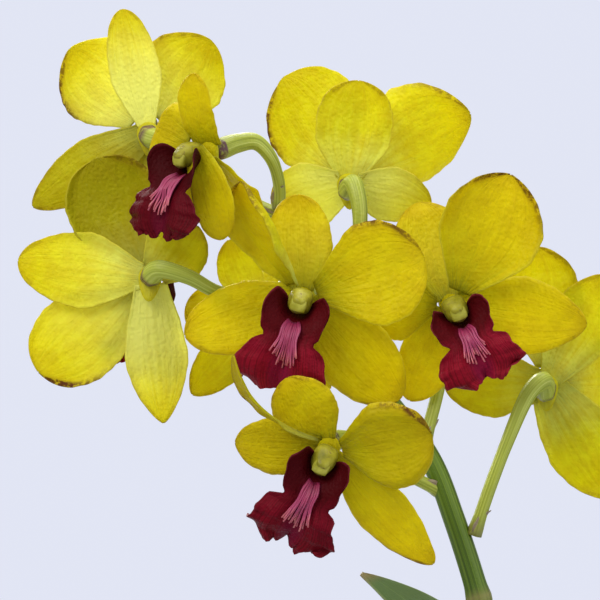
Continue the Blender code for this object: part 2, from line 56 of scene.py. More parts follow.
# Each flower: the way it faces, the lip's downward direction, the lip's size and droop (0 straight out,
# 1 hanging), the pedicel from the stem, and the five tepals.  A tepal is its tip from the hub in
# millimetres, its width, turn, cup, arch towards the face and how pointed it is, then where its margin
# has browned: side (-1, 0 or 1), place along it and strength.
FLOWERS = {
    "a": {
        "faces": (-0.10, 0.94, 0.28), "lip_down": (0.12, 0.25, -1.0), "lip": (0.80, 0.10, 1.00),
        "pedicel": [(-35.5, 17.5, 490.5), (-43.0, 19.5, 494.0), (-54.0, 18.5, 500.5), (-64.0, 15.5, 508.5)],
        "dorsal": ((-7.2, 3.0, 33.0), 16.0, 0, 0.14, 0.5, 0.20, (0, 0.9, 0.2)),
        "petal_left": ((-20.8, 13.0, 22.5), 25.0, 6, 0.16, 2.0, 0.05, (1, 0.75, 1.0)),
        "petal_right": ((15.4, 13.0, 25.0), 24.0, -4, 0.16, 2.0, 0.05, (1, 0.7, 0.6)),
        "lateral_left": ((-31.0, 3.0, -19.6), 15.5, 24, 0.18, 1.5, 0.55, (0, 0.9, 0.3)),
        "lateral_right": ((8.3, 4.0, -23.5), 14.0, 0, 0.16, 1.0, 0.45, (0, 0.9, 0.3)),
    },
    "b": {
        "faces": (-0.70, -0.70, -0.12), "lip_down": (-0.22, -0.05, -0.95), "lip": (1.05, 0.50, 1.00),
        "pedicel": [(-35.5, 16.0, 493.0), (-35.6, 11.0, 499.0), (-37.5, 6.0, 505.0), (-41.5, 4.0, 509.2),
                    (-46.5, 2.6, 508.8)],
        "dorsal": ((-3.3, -8.0, 19.2), 10.0, 20, 0.12, 1.5, 0.05, (0, 0.9, 0.2)),
        "petal_left": ((-14.0, 7.0, 6.0), 16.0, 12, 0.10, 0.5, 0.10, (0, 0.9, 0.2)),
        "petal_right": ((4.2, -5.0, -23.0), 18.0, -10, 0.12, 0.5, 0.20, (1, 0.6, 1.0)),
        "lateral_left": ((-9.0, 9.0, -15.0), 12.0, 0, 0.12, 0.0, 0.40, (0, 0.9, 0.2)),
        "lateral_right": ((14.0, 8.0, -18.0), 15.5, 20, 0.12, -1.0, 0.30, (0, 0.9, 0.2)),
    },
    "c": {
        "faces": (-0.12, 0.97, -0.16), "lip_down": (-0.12, 0.20, -0.95), "lip": (0.95, 0.75, 1.00),
        "pedicel": [(-30.5, 18.0, 473.5), (-41.0, 10.0, 469.0), (-51.0, 3.5, 470.0), (-59.0, 0.5, 474.0),
                    (-66.0, 1.0, 476.0)],
        "dorsal": ((-34.8, 4.0, 4.7), 20.0, 0, 0.15, 1.5, 0.20, (0, 0.9, 0.2)),
        "petal_left": ((-14.6, 8.0, 31.6), 26.0, 0, 0.18, 2.5, 0.00, (-1, 0.8, 0.5)),
        "petal_right": ((-29.5, 3.5, -24.6), 24.0, 0, 0.16, 1.5, 0.10, (1, 0.9, 1.0)),
        "lateral_left": ((3.4, 2.0, -37.8), 16.5, 0, 0.16, 1.0, 0.60, (0, 0.9, 0.2)),
        "lateral_right": ((12.5, -9.0, 13.5), 17.5, 0, 0.12, 0.5, 0.10, (0, 0.9, 0.2)),
    },
    "d": {
        "faces": (0.05, 0.90, 0.42), "lip_down": (0.05, 0.20, -0.95), "lip": (0.80, 0.00, 1.00),
        "pedicel": [(-17.5, 17.0, 453.5), (-15.5, 14.0, 468.0), (-14.4, 13.0, 482.0), (-14.3, 13.0, 492.0),
                    (-15.8, 15.5, 498.5)],
        "dorsal": ((2.6, 2.0, 27.2), 21.0, 0, 0.10, 0.5, 0.00, (0, 0.9, 0.3)),
        "petal_left": ((-17.8, 16.0, 29.0), 25.5, 0, 0.16, 2.5, 0.20, (1, 0.75, 1.0)),
        "petal_right": ((31.5, 15.0, 19.5), 27.0, 0, 0.16, 2.5, 0.05, (1, 0.9, 0.5)),
        "lateral_left": ((-20.3, 4.0, -6.8), 19.0, 0, 0.14, 1.0, 0.25, (0, 0.9, 0.2)),
        "lateral_right": ((22.0, 4.0, -6.4), 16.0, 0, 0.14, 1.0, 0.40, (0, 0.9, 0.2)),
    },
    "e": {
        "faces": (-0.10, -0.98, -0.05), "lip_down": (-0.27, -0.10, -0.95), "lip": (1.00, 1.00, 0.98),
        "pedicel": [(-26.5, 18.0, 467.5), (-25.5, 13.0, 471.5), (-27.0, 8.5, 471.5)],
        "dorsal": ((-1.5, 2.0, 26.8), 17.0, 0, 0.14, 1.0, 0.10, (0, 0.9, 0.2)),
        "petal_left": ((-16.4, -13.0, 29.4), 21.0, -56, 0.18, 1.0, 0.35, (0, 0.95, 0.6)),
        "petal_right": ((31.0, -8.0, 10.6), 27.0, 0, 0.18, 2.5, 0.00, (-1, 0.75, 0.9)),
        "lateral_left": ((-30.6, -1.0, -9.8), 18.5, 6, 0.14, 1.0, 0.30, (0, 0.9, 0.2)),
        "lateral_right": ((24.8, 2.0, -26.8), 20.0, 8, 0.14, 1.0, 0.10, (1, 0.9, 0.5)),
    },
    "f": {
        "faces": (0.10, -0.98, -0.10), "lip_down": (0.40, -0.10, -0.92), "lip": (0.95, 0.62, 1.00),
        "pedicel": [(2.5, 10.0, 430.0), (6.4, 12.5, 444.5), (8.5, 14.0, 458.0), (9.3, 12.5, 465.0)],
        "dorsal": ((-8.8, 3.0, 26.8), 19.0, 0, 0.14, 1.0, 0.15, (0, 0.9, 0.2)),
        "petal_left": ((-20.5, 1.0, 1.5), 20.0, 0, 0.14, 1.0, 0.15, (0, 0.9, 0.2)),
        "petal_right": ((15.1, -6.0, 33.8), 27.5, 0, 0.18, 2.5, 0.40, (0, 0.97, 0.8)),
        "lateral_left": ((-10.9, 4.0, -24.9), 16.0, 0, 0.14, 1.0, 0.30, (0, 0.9, 0.2)),
        "lateral_right": ((35.4, 2.0, -5.2), 20.0, 0, 0.14, 1.5, 0.50, (0, 0.9, 0.2)),
    },
    "g": {
        "faces": (-0.14, -0.92, -0.36), "lip_down": (-0.42, 0.20, -0.90), "lip": (1.08, 0.98, 0.86),
        "pedicel": [(6.4, 9.0, 418.0), (0.0, 4.0, 421.5), (-9.0, -2.0, 426.5), (-17.0, -5.0, 431.5)],
        "dorsal": ((-10.5, -7.0, 17.5), 17.0, 0, 0.05, 0.0, 0.15, (0, 0.9, 0.4)),
        "petal_left": ((-24.0, -20.0, 24.0), 12.0, -40, 0.16, -0.5, 0.30, (-1, 0.6, 1.0)),
        "petal_right": ((26.0, -12.0, 4.0), 24.0, 0, 0.30, 3.0, 0.00, (-1, 0.8, 1.0)),
        "lateral_left": ((-23.9, 4.0, 1.0), 16.0, 0, 0.14, 0.5, 0.30, (0, 0.9, 0.2)),
        "lateral_right": ((27.0, 4.0, -30.0), 17.5, 8, 0.16, 1.0, 0.40, (1, 0.9, 0.7)),
    },
    "h": {
        "faces": (0.16, 0.92, 0.34), "lip_down": (0.0, 0.25, -0.95), "lip": (0.80, 0.00, 1.00),
        "pedicel": [(15.5, 7.0, 406.5), (20.0, 5.5, 420.0), (25.0, 5.5, 433.0), (29.5, 6.0, 443.0),
                    (33.5, 8.0, 446.8)],
        "dorsal": ((16.5, 4.0, 28.5), 18.0, 0, 0.14, 1.0, 0.20, (0, 0.9, 0.2)),
        "petal_left": ((-2.0, 11.0, 36.0), 21.0, 0, 0.18, 2.0, 0.20, (0, 0.9, 0.4)),
        "petal_right": ((30.0, 11.0, 4.0), 23.0, 0, 0.18, 2.0, 0.10, (1, 0.9, 0.5)),
        "lateral_left": ((-27.0, 4.0, 0.0), 19.0, 0, 0.14, 1.0, 0.30, (0, 0.9, 0.2)),
        "lateral_right": ((17.5, 4.0, -29.5), 21.0, 0, 0.14, 1.0, 0.35, (0, 0.9, 0.2)),
    },
    "i": {
        "faces": (-0.25, 0.95, -0.15), "lip_down": (-0.10, 0.35, -0.93), "lip": (0.70, 0.10, 1.00),
        "pedicel": [(-29.5, 19.5, 472.0), (-33.0, 20.0, 469.5), (-36.5, 22.5, 466.0), (-39.3, 27.5, 463.6)],
        "dorsal": ((-8.3, 3.0, 21.5), 12.5, 0, 0.14, 1.0, 0.25, (0, 0.9, 0.2)),
        "petal_left": ((-20.0, 8.0, 4.0), 15.0, 0, 0.14, 1.5, 0.20, (0, 0.9, 0.2)),
        "petal_right": ((12.0, 9.0, 17.0), 14.0, 0, 0.14, 1.5, 0.20, (0, 0.9, 0.2)),
        "lateral_left": ((-18.0, 2.0, -19.8), 13.0, 0, 0.14, 0.5, 0.40, (0, 0.9, 0.2)),
        "lateral_right": ((19.0, 2.0, -18.5), 9.5, 0, 0.14, 0.5, 0.40, (0, 0.9, 0.2)),
    },
}

# Tepals that differ from the rest: how shaded (olive) and how back-lit (pale) they look, a shift of the
# start and a sideways bow in millimetres, and their own width and turn
OWN_WAYS = {
    ("a", "dorsal"): {"glow": 1.0, "width": 13.6},
    ("a", "petal_left"): {"glow": 0.45},
    ("a", "petal_right"): {"glow": 0.30, "shade": 0.10},
    ("a", "lateral_left"): {"shade": 0.50},
    ("a", "lateral_right"): {"shade": 0.25},
    ("b", "dorsal"): {"base": 0.75},
    ("b", "petal_left"): {"shade": 0.10, "base": 0.55, "width": 18.0},
    ("b", "petal_right"): {"shift": (-2.0, -5.0, 5.0), "width": 13.5, "bow": -1.6, "base": 0.42},
    ("c", "dorsal"): {"glow": 0.15},
    ("c", "petal_left"): {"shade": 0.80},
    ("c", "petal_right"): {"glow": 0.30},
    ("c", "lateral_left"): {"glow": 1.0},
    ("d", "petal_left"): {"width": 29.0},
    ("d", "lateral_left"): {"glow": 1.0},
    ("d", "lateral_right"): {"glow": 0.85},
    ("e", "dorsal"): {"glow": 0.12},
    ("f", "dorsal"): {"glow": 0.15},
    ("g", "petal_left"): {"shade": 0.35, "width": 8.0, "turn": -62, "bow": -5.0},
    ("g", "petal_right"): {"shade": 0.35},
    ("g", "lateral_left"): {"shade": 0.20},
    ("g", "lateral_right"): {"width": 15.0, "base": 0.24},
    ("h", "lateral_left"): {"shade": 0.25},
}

# How shaded a lip is and how frilled its end, where they differ
LIP_SHADE = {"b": 0.62, "g": 0.35}
LIP_FRILL = {"b": 0.7, "e": 0.45, "g": 0.95}

# The lip from base to end: distance out, distance down, half width and rise of the edges, millimetres
LIP_HANGING = [
    (0.0, 0.0, 2.4, 0.8), (1.8, 0.9, 5.8, 5.6), (4.4, 2.0, 8.6, 8.2), (6.8, 3.8, 9.6, 6.4),
    (8.0, 6.4, 8.6, 1.8), (8.6, 9.6, 10.6, -0.4), (8.2, 13.2, 12.6, -1.2), (6.6, 17.0, 12.2, -1.6),
    (4.8, 20.4, 8.6, -0.8),
]
LIP_LEVEL = [
    (0.0, 0.0, 2.4, 0.8), (2.2, 0.6, 5.4, 5.0), (5.0, 1.0, 7.8, 7.2), (8.0, 1.4, 8.4, 5.4),
    (11.0, 2.4, 7.6, 1.8), (14.2, 4.0, 9.4, -0.4), (17.4, 6.4, 10.8, -1.2), (19.8, 9.2, 9.6, -1.6),
    (21.4, 11.8, 5.8, -0.8),
]

# Main flower stem, canes and rhizome: (x, y, z, radius) in millimetres, base first
STEM_PATH = [
    (22.5, 4.0, 324.5, 3.1), (22.0, 4.5, 350.0, 3.0), (19.8, 5.5, 374.0, 3.0), (16.8, 6.5, 390.0, 3.0),
    (10.3, 8.0, 410.8, 2.9), (3.8, 10.0, 427.0, 2.8), (-7.9, 14.0, 443.0, 2.5), (-20.4, 17.0, 457.0, 2.3),
    (-29.0, 19.0, 471.0, 2.1), (-33.5, 19.0, 484.0, 1.9), (-35.5, 17.0, 494.0, 1.7),
]
CANES = [
    [(4.0, 2.0, 110.0, 6.0), (6.0, 2.5, 135.0, 8.0), (10.0, 3.5, 175.0, 8.6), (15.0, 4.0, 225.0, 7.8),
     (19.5, 4.0, 275.0, 6.2), (22.5, 4.0, 321.0, 4.4)],
    [(-15.0, 4.0, 110.0, 6.0), (-18.0, 6.0, 130.0, 8.0), (-24.0, 9.0, 165.0, 8.2), (-31.0, 12.0, 205.0, 6.8),
     (-36.0, 14.0, 238.0, 4.6)],
    [(22.0, -3.0, 110.0, 5.5), (26.0, -6.0, 128.0, 7.2), (33.0, -11.0, 155.0, 7.0), (39.0, -15.0, 182.0, 4.4)],
]
RHIZOME = [(-24.0, 5.5, 5.0), (-8.0, 3.0, 5.5), (10.0, 1.0, 5.5), (28.0, -4.5, 5.0)]

# Leaves: base, tip in millimetres, width, the way the arch rises, its height and the blade's turn
LEAVES = {
    "leaf_1": ((21.0, 13.0, 303.0), (-13.0, 17.0, 396.0), 28.0, (0.80, 0.30, 0.45), 20.0, -60),
    "leaf_2": ((29.0, 3.0, 296.0), (118.0, -14.0, 352.0), 29.0, (-0.40, -0.10, 0.90), 22.0, 0),
    "leaf_3": ((12.0, -1.0, 262.0), (-92.0, -30.0, 300.0), 30.0, (0.35, -0.10, 0.92), 24.0, 0),
    "leaf_4": ((27.0, 8.0, 252.0), (102.0, 52.0, 262.0), 30.0, (-0.25, -0.20, 0.95), 26.0, 0),
    "leaf_5": ((-43.0, 12.0, 229.0), (-124.0, 18.0, 252.0), 26.0, (0.30, 0.0, 0.95), 20.0, 0),
    "leaf_6": ((-31.0, 21.0, 221.0), (14.0, 88.0, 262.0), 26.0, (-0.15, -0.40, 0.90), 18.0, 0),
    "leaf_7": ((45.5, -18.0, 172.0), (100.0, -62.0, 198.0), 24.0, (-0.30, 0.25, 0.92), 16.0, 0),
}

# Roots lying on the bark: (x, y) in millimetres and radius
ROOTS = {
    "root_1": ([(-4.0, -5.6), (-8.0, -18.0), (-20.0, -30.0), (-34.0, -33.0)], 1.6),
    "root_2": ([(8.0, 9.8), (14.0, 22.0), (28.0, 31.0), (38.0, 28.0)], 1.5),
}


# ---------------------------------------------------------------- shape helpers

def vec(point):
    """A vector in metres from millimetres."""
    return Vector(point[:3]) * MM


def hub_of(letter):
    """Where a flower's tepals meet, worked back from the middle of its column."""
    low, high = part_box(f"flower_{letter}_column")
    face = Vector(FLOWERS[letter]["faces"]).normalized()
    return (low + high) / 2 - face * COLUMN_MIDDLE


def smooth_path(points, count):
    """Evenly spread samples of a rounded path through the points, all columns alike."""
    rows = np.array(points, dtype=float)
    padded = np.vstack([2 * rows[0] - rows[1], rows, 2 * rows[-1] - rows[-2]])
    samples = []
    for place in np.linspace(0.0, len(rows) - 1.0, count):
        index = min(int(place), len(rows) - 2)
        t = place - index
        before, start, end, after = padded[index:index + 4]
        samples.append(0.5 * (2 * start + (end - before) * t
                              + (2 * before - 5 * start + 4 * end - after) * t ** 2
                              + (3 * start - before - 3 * end + after) * t ** 3))
    return np.array(samples)


def new_shape():
    """An empty bmesh with the layers that the materials read."""
    shape = bmesh.new()
    shape.verts.layers.float_vector.new("blade")
    shape.verts.layers.float_vector.new("marks")
    return shape


def finish(name, shape, materials, nodes=(), smooth=True, thick=0.0):
    """Make the piece's mesh and object with its materials, riding on the root body, and hide the parts it stands in
    for.
    """
    bmesh.ops.recalc_face_normals(shape, faces=shape.faces)
    mesh = bpy.data.meshes.new(name)
    shape.to_mesh(mesh)
    shape.free()
    for material in materials:
        mesh.materials.append(material)
    if smooth:
        mesh.polygons.foreach_set("use_smooth", [True] * len(mesh.polygons))
    piece = bpy.data.objects.new(name, mesh)
    bpy.context.scene.collection.objects.link(piece)
    if thick:
        shell = piece.modifiers.new("thickness", "SOLIDIFY")
        shell.thickness = thick
    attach(piece, "root")
    if nodes:
        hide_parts(*nodes)
    return piece


def sheet(shape, columns, rows, surface, thickness, marks=(0.0, 0.0, 0.0)):
    """Two skins of a curved sheet, joined round the rim.  surface(u, v) gives places for u from -1 to 1
    across and v from 0 to 1 along; marks are the three values painted on it, numbers or functions."""
    blade = shape.verts.layers.float_vector["blade"]
    painted = shape.verts.layers.float_vector["marks"]
    rims = []
    for side in (1, -1):
        made = bmesh.ops.create_grid(shape, x_segments=columns, y_segments=rows, size=1.0)["verts"]
        flat = np.array([vertex.co for vertex in made])
        u = flat[:, 0]
        v = 1.0 - ((1.0 - flat[:, 1]) / 2) ** 1.4
        step = 0.004
        across = surface(np.minimum(u + step, 1.0), v) - surface(np.maximum(u - step, -1.0), v)
        along = surface(u, np.minimum(v + step, 1.0)) - surface(u, np.maximum(v - step, 0.0))
        normal = np.cross(across, along)
        normal /= np.maximum(np.linalg.norm(normal, axis=1), 1e-12)[:, None]
        rim_fade = 1.0 - 0.6 * np.abs(u) ** 6
        places = surface(u, v) + side * normal * (thickness / 2 * rim_fade)[:, None]
        paint = np.stack([mark(u, v) if callable(mark) else np.full(len(u), mark) for mark in marks], axis=1)
        for vertex, place, a, b, value in zip(made, places, u, v, paint):
            vertex.co = place
            vertex[blade] = (a, b, side)
            vertex[painted] = value
        faces = list({face for vertex in made for face in vertex.link_faces})
        rims += list({edge for vertex in made for edge in vertex.link_edges if edge.is_boundary})
        if side < 0:
            bmesh.ops.reverse_faces(shape, faces=faces)
    bmesh.ops.bridge_loops(shape, edges=rims)


def swept(shape, path, around, ribs=0, rib_depth=0.0, marks=(0.0, 0.0, 0.0)):
    """A closed tube along (x, y, z, radius) samples in metres, with shallow ribs along it."""
    blade = shape.verts.layers.float_vector["blade"]
    painted = shape.verts.layers.float_vector["marks"]
    path = np.array(path)
    count = len(path)
    tangents = np.gradient(path[:, :3], axis=0)
    tangents /= np.linalg.norm(tangents, axis=1)[:, None]
    side = np.cross(tangents[0], (0.3, 1.0, 0.1))
    sides = []
    for tangent in tangents:
        side = side - tangent * side.dot(tangent)
        side = side / np.linalg.norm(side)
        sides.append(side)
    sides = np.array(sides)
    others = np.cross(tangents, sides)
    made = bmesh.ops.create_grid(shape, x_segments=around, y_segments=count - 1, size=1.0)["verts"]
    for vertex in made:
        step = int(round((vertex.co.x + 1) / 2 * around)) % around
        row = int(round((vertex.co.y + 1) / 2 * (count - 1)))
        angle = 2 * math.pi * step / around
        radius = path[row, 3] * (1.0 + rib_depth * math.cos(ribs * angle))
        vertex.co = path[row, :3] + radius * (sides[row] * math.cos(angle) + others[row] * math.sin(angle))
        vertex[blade] = (abs(2.0 * step / around - 1.0), row / (count - 1), 1.0)
        vertex[painted] = [mark(row / (count - 1)) if callable(mark) else mark for mark in marks]
    bmesh.ops.remove_doubles(shape, verts=made, dist=0.000001)
    made = [vertex for vertex in made if vertex.is_valid]
    ends = list({edge for vertex in made for edge in vertex.link_edges if edge.is_boundary})
    bmesh.ops.holes_fill(shape, edges=ends, sides=0)


def outline(v, base, widest, point):
    """Half width of a blade along its length, as a share of its greatest half width."""
    low = base + (1.0 - base) * np.sin(np.pi / 2 * np.clip(v / widest, 0.0, 1.0)) ** 1.2
    t = np.clip((v - widest) / (1.0 - widest), 0.0, 1.0)
    high = (1.0 - point) * np.sqrt(np.maximum(1.0 - t ** 2.3, 0.0)) + point * (1.0 - t ** 1.6)
    return np.where(v < widest, low, high)


def blade_axes(start, tip, face, turn):
    """Directions along, across and out of a blade's face, the face turned about the blade's length."""
    along = (tip - start).normalized()
    across = along.cross(face).normalized()
    out = across.cross(along).normalized()
    spin = Matrix.Rotation(math.radians(turn), 3, along)
    return along, spin @ across, spin @ out


def blade_surface(start, tip, face, width, turn, cup, arch, shape_of, ripple, seed, fold=0.0, curl=0.0, bow=0.0):
    """The middle surface of a petal or leaf: cupped, arched, with a creased midrib and a waved margin."""
    level, lift = blade_axes(start, tip, face, 0.0)[1:]
    along, across, out = (np.array(way) for way in blade_axes(start, tip, face, turn))
    base = np.array(start)
    length = (tip - start).length
    raised = np.array(lift) * arch + np.array(level) * bow

    def surface(u, v):
        edge = np.abs(u)
        half = np.maximum(width / 2 * shape_of(v), 0.00025)
        waves = (np.sin(7.0 * v + seed + 1.9 * np.sign(u)) + 0.6 * np.sin(15.0 * v + 2.3 * seed + np.sign(u))
                 + 0.3 * np.sin(31.0 * v + 1.7 * seed - np.sign(u)))
        ragged = 1.0 + 0.012 * np.sin(23.0 * v + seed) * edge + 0.008 * np.sin(57.0 * v + 3.0 * seed) * edge
        rise = (cup * half * u * u + ripple * waves * edge ** 2.5 * np.sin(np.pi * np.clip(v, 0.0, 1.0)) ** 0.6
                + fold * half * edge - 0.00022 * np.exp(-(u / 0.07) ** 2) * (1.0 - v)
                + curl * half * np.clip((edge - 0.70) / 0.30, 0.0, 1.0) ** 2
                - 0.10 * width * np.clip((v - 0.80) / 0.20, 0.0, 1.0) ** 2 * (0.4 + 0.6 * np.sin(seed)))
        bend = 4 * v * (1 - v)
        return (base + along * (length * v)[:, None] + across * (u * half * ragged)[:, None]
                + out * rise[:, None] + raised * bend[:, None])

    return surface


# ---------------------------------------------------------------- material helpers

class Recipe:
    """A small builder for one material's or group's nodes."""

    def __init__(self, tree):
        self.tree = tree

    def add(self, kind, settings=None, **inputs):
        """Add a node; each input is a value or the socket that feeds it."""
        node = self.tree.nodes.new(kind)
        for key, value in (settings or {}).items():
            setattr(node, key, value)
        for key, value in inputs.items():
            socket = node.inputs[int(key[1:])] if key[0] == "i" and key[1:].isdigit() else node.inputs[
                key.replace("_", " ")]
            if isinstance(value, bpy.types.NodeSocket):
                self.tree.links.new(value, socket)
            else:
                socket.default_value = value
        return node

    def math(self, operation, first, second=0.0, clamp=False):
        """The result of one arithmetic step."""
        node = self.add("ShaderNodeMath", {"operation": operation, "use_clamp": clamp}, i0=first, i1=second)
        return node.outputs[0]

    def mix(self, factor, first, second, blend="MIX"):
        """One colour mixed over another."""
        node = self.add("ShaderNodeMix", {"data_type": "RGBA", "blend_type": blend}, i0=factor, i6=first, i7=second)
        return node.outputs[2]

    def ramp(self, factor, stops):
        """A colour ramp of (place, colour) stops."""
        node = self.add("ShaderNodeValToRGB", None, Fac=factor)
        elements = node.color_ramp.elements
        while len(elements) < len(stops):
            elements.new(0.5)
        for element, (place, colour) in zip(elements, stops):
            element.position = place
            element.color = (*colour, 1.0)
        return node.outputs["Color"]

    def smooth_step(self, value, low, high):
        """0 below low, 1 above high, smooth between."""
        node = self.add("ShaderNodeMapRange", {"interpolation_type": "SMOOTHSTEP"}, Value=value)
        node.inputs["From Min"].default_value = low
        node.inputs["From Max"].default_value = high
        return node.outputs["Result"]

    def noise(self, vector, scale, detail=3.0, rough=0.55):
        """A noise value."""
        node = self.add("ShaderNodeTexNoise", None, Vector=vector, Scale=scale, Detail=detail, Roughness=rough)
        return node.outputs["Fac"]

    def place(self):
        """Position on the object."""
        return self.add("ShaderNodeTexCoord").outputs["Object"]

    def layer(self, name):
        """Three values painted on the vertices."""
        node = self.add("ShaderNodeAttribute", {"attribute_name": name})
        split = self.add("ShaderNodeSeparateXYZ", None, Vector=node.outputs["Vector"])
        return split.outputs["X"], split.outputs["Y"], split.outputs["Z"]

    def combine(self, x, y, z):
        """A vector from three values."""
        return self.add("ShaderNodeCombineXYZ", None, X=x, Y=y, Z=z).outputs[0]

    def bump(self, height, strength, distance):
        """A normal from a height."""
        node = self.add("ShaderNodeBump", None, Height=height, Strength=strength, Distance=distance)
        return node.outputs["Normal"]


def new_group(name, inputs, outputs):
    """A node group with named sockets, and a recipe that fills it."""
    group = bpy.data.node_groups.new(name, "ShaderNodeTree")
    for label, value in inputs.items():
        kind = "NodeSocketColor" if isinstance(value, tuple) else "NodeSocketFloat"
        socket = group.interface.new_socket(label, in_out="INPUT", socket_type=kind)
        socket.default_value = value
    for label, kind in outputs.items():
        group.interface.new_socket(label, in_out="OUTPUT", socket_type=kind)
    recipe = Recipe(group)
    return recipe, recipe.add("NodeGroupInput"), recipe.add("NodeGroupOutput")


def new_material(name, roughness=0.5, **shader_values):
    """A principled material, its recipe, its shader and its output."""
    material = bpy.data.materials.new(name)
    material.use_nodes = True
    recipe = Recipe(material.node_tree)
    shader = material.node_tree.nodes["Principled BSDF"]
    shader.inputs["Roughness"].default_value = roughness
    for key, value in shader_values.items():
        shader.inputs[key.replace("_", " ")].default_value = value
    return material, recipe, shader


def plug(recipe, shader, **sockets):
    """Feed the shader's inputs."""
    for key, value in sockets.items():
        recipe.tree.links.new(value, shader.inputs[key.replace("_", " ")])


def make_skin_group():
    """Living surface: streaks along the blade and small glistening cells."""
    recipe, given, result = new_group(
        "living_skin", {"Streak Count": 9.0, "Cell Scale": 1100.0},
        {"Streaks": "NodeSocketFloat", "Cells": "NodeSocketFloat", "Mottle": "NodeSocketFloat",
         "Height": "NodeSocketFloat"})
    across, along, side = recipe.layer("blade")
    count = given.outputs["Streak Count"]
    spread = recipe.combine(recipe.math("MULTIPLY", across, count), recipe.math("MULTIPLY", along, 1.1), side)
    streaks = recipe.noise(spread, 1.0, 4.0, 0.6)
    place = recipe.place()
    cells = recipe.add("ShaderNodeTexVoronoi", {"feature": "SMOOTH_F1"}, Vector=place,
                       Scale=given.outputs["Cell Scale"]).outputs["Distance"]
    mottle = recipe.noise(place, 220.0, 3.0, 0.6)
    height = recipe.math("ADD", recipe.math("MULTIPLY", cells, 0.45), recipe.math("MULTIPLY", streaks, 0.7))
    height = recipe.math("ADD", height, recipe.math("MULTIPLY", mottle, 0.5))
    for label, value in (("Streaks", streaks), ("Cells", cells), ("Mottle", mottle), ("Height", height)):
        recipe.tree.links.new(value, result.inputs[label])
    return result.id_data


def use_group(recipe, group, **values):
    """Place a group in a material with its own values."""
    node = recipe.add("ShaderNodeGroup", {"node_tree": group})
    for key, value in values.items():
        node.inputs[key.replace("_", " ")].default_value = value
    return node.outputs


def thin_mix(recipe, shader, colour, share, normal):
    """Let light through a thin living sheet."""
    through = recipe.add("ShaderNodeBsdfTranslucent", None, Color=colour, Normal=normal)
    mixed = recipe.add("ShaderNodeMixShader", None, i0=share, i1=shader.outputs[0], i2=through.outputs[0])
    output = recipe.tree.nodes["Material Output"]
    recipe.tree.links.new(mixed.outputs[0], output.inputs["Surface"])


def petal_material(skin):
    """Rich yellow petal with painted olive shade at its base; greener on its back, paler there from painted back-light
    glow; painted glow and shade where marked; browned where a margin ages.
    """
    material, recipe, shader = new_material("petal", 0.5, Specular_IOR_Level=0.13)
    across, along, side = recipe.layer("blade")
    wear, shade, glow = recipe.layer("marks")
    skin_out = use_group(recipe, skin, Streak_Count=10.0, Cell_Scale=1050.0)
    place = recipe.place()
    edge = recipe.math("ABSOLUTE", across)
    wander = recipe.math("MULTIPLY", recipe.math("SUBTRACT", skin_out["Streaks"], 0.5), 0.40)
    drift = recipe.math("ADD", along, wander)
    # face ramp: rich yellow, with painted shade in olive towards the hub
    face = recipe.ramp(drift, [(0.0, (0.36, 0.34, 0.010)), (0.12, (0.60, 0.53, 0.004)), (0.40, (0.80, 0.66, 0.0015)),
                               (0.80, (0.84, 0.68, 0.001)), (1.0, (0.82, 0.62, 0.003))])
    # back ramp: the backs' own greener yellow, paler near the base as painted back-light glow
    back = recipe.ramp(drift, [(0.0, (0.60, 0.64, 0.11)), (0.20, (0.82, 0.84, 0.11)), (0.50, (0.80, 0.79, 0.012)),
                               (0.82, (0.78, 0.75, 0.002)), (1.0, (0.80, 0.72, 0.008))])
    colour = recipe.mix(recipe.smooth_step(side, -0.4, 0.4), back, face)
    tint = recipe.math("ADD", skin_out["Mottle"], recipe.math("MULTIPLY", skin_out["Streaks"], 0.6))
    deep = recipe.smooth_step(tint, 0.60, 1.02)
    colour = recipe.mix(recipe.math("MULTIPLY", deep, 0.40), colour, (0.58, 0.42, 0.001, 1.0))
    clouds = recipe.smooth_step(recipe.noise(place, 75.0, 3.0, 0.55), 0.45, 0.70)
    colour = recipe.mix(recipe.math("MULTIPLY", clouds, 0.30), colour, (0.86, 0.80, 0.008, 1.0))
    # painted back-light glow, strongest towards the base, where a tepal's glow mark asks
    pale = recipe.math("MULTIPLY", glow, recipe.smooth_step(recipe.math("SUBTRACT", 1.15, drift), 0.15, 0.85))
    colour = recipe.mix(recipe.math("MULTIPLY", pale, 0.85), colour, (0.98, 0.98, 0.24, 1.0))
    colour = recipe.mix(recipe.math("MULTIPLY", shade, 0.80), colour, (0.26, 0.21, 0.0, 1.0))
    light_rim = recipe.smooth_step(edge, 0.945, 1.0)
    colour = recipe.mix(recipe.math("MULTIPLY", light_rim, 0.40), colour, (0.90, 0.80, 0.06, 1.0))
    spots = recipe.noise(place, 480.0, 4.0, 0.7)
    reach = recipe.math("ADD", edge, recipe.math("MULTIPLY", recipe.smooth_step(along, 0.80, 1.0), 0.35))
    near_edge = recipe.smooth_step(reach, 0.84, 1.00)
    brown = recipe.math("MULTIPLY", recipe.smooth_step(spots, 0.42, 0.54), near_edge)
    brown = recipe.math("MULTIPLY", brown, wear)
    tan = recipe.math("MULTIPLY", recipe.math("MULTIPLY", recipe.smooth_step(reach, 0.70, 1.0), wear), 0.45)
    colour = recipe.mix(tan, colour, (0.52, 0.30, 0.006, 1.0))
    colour = recipe.mix(brown, colour, (0.15, 0.045, 0.008, 1.0))
    rough = recipe.math("ADD", 0.36, recipe.math("MULTIPLY", skin_out["Mottle"], 0.26))
    normal = recipe.bump(skin_out["Height"], 0.85, 0.0008)
    plug(recipe, shader, Base_Color=colour, Roughness=rough, Normal=normal)
    thin_mix(recipe, shader, colour, 0.42, normal)
    return material


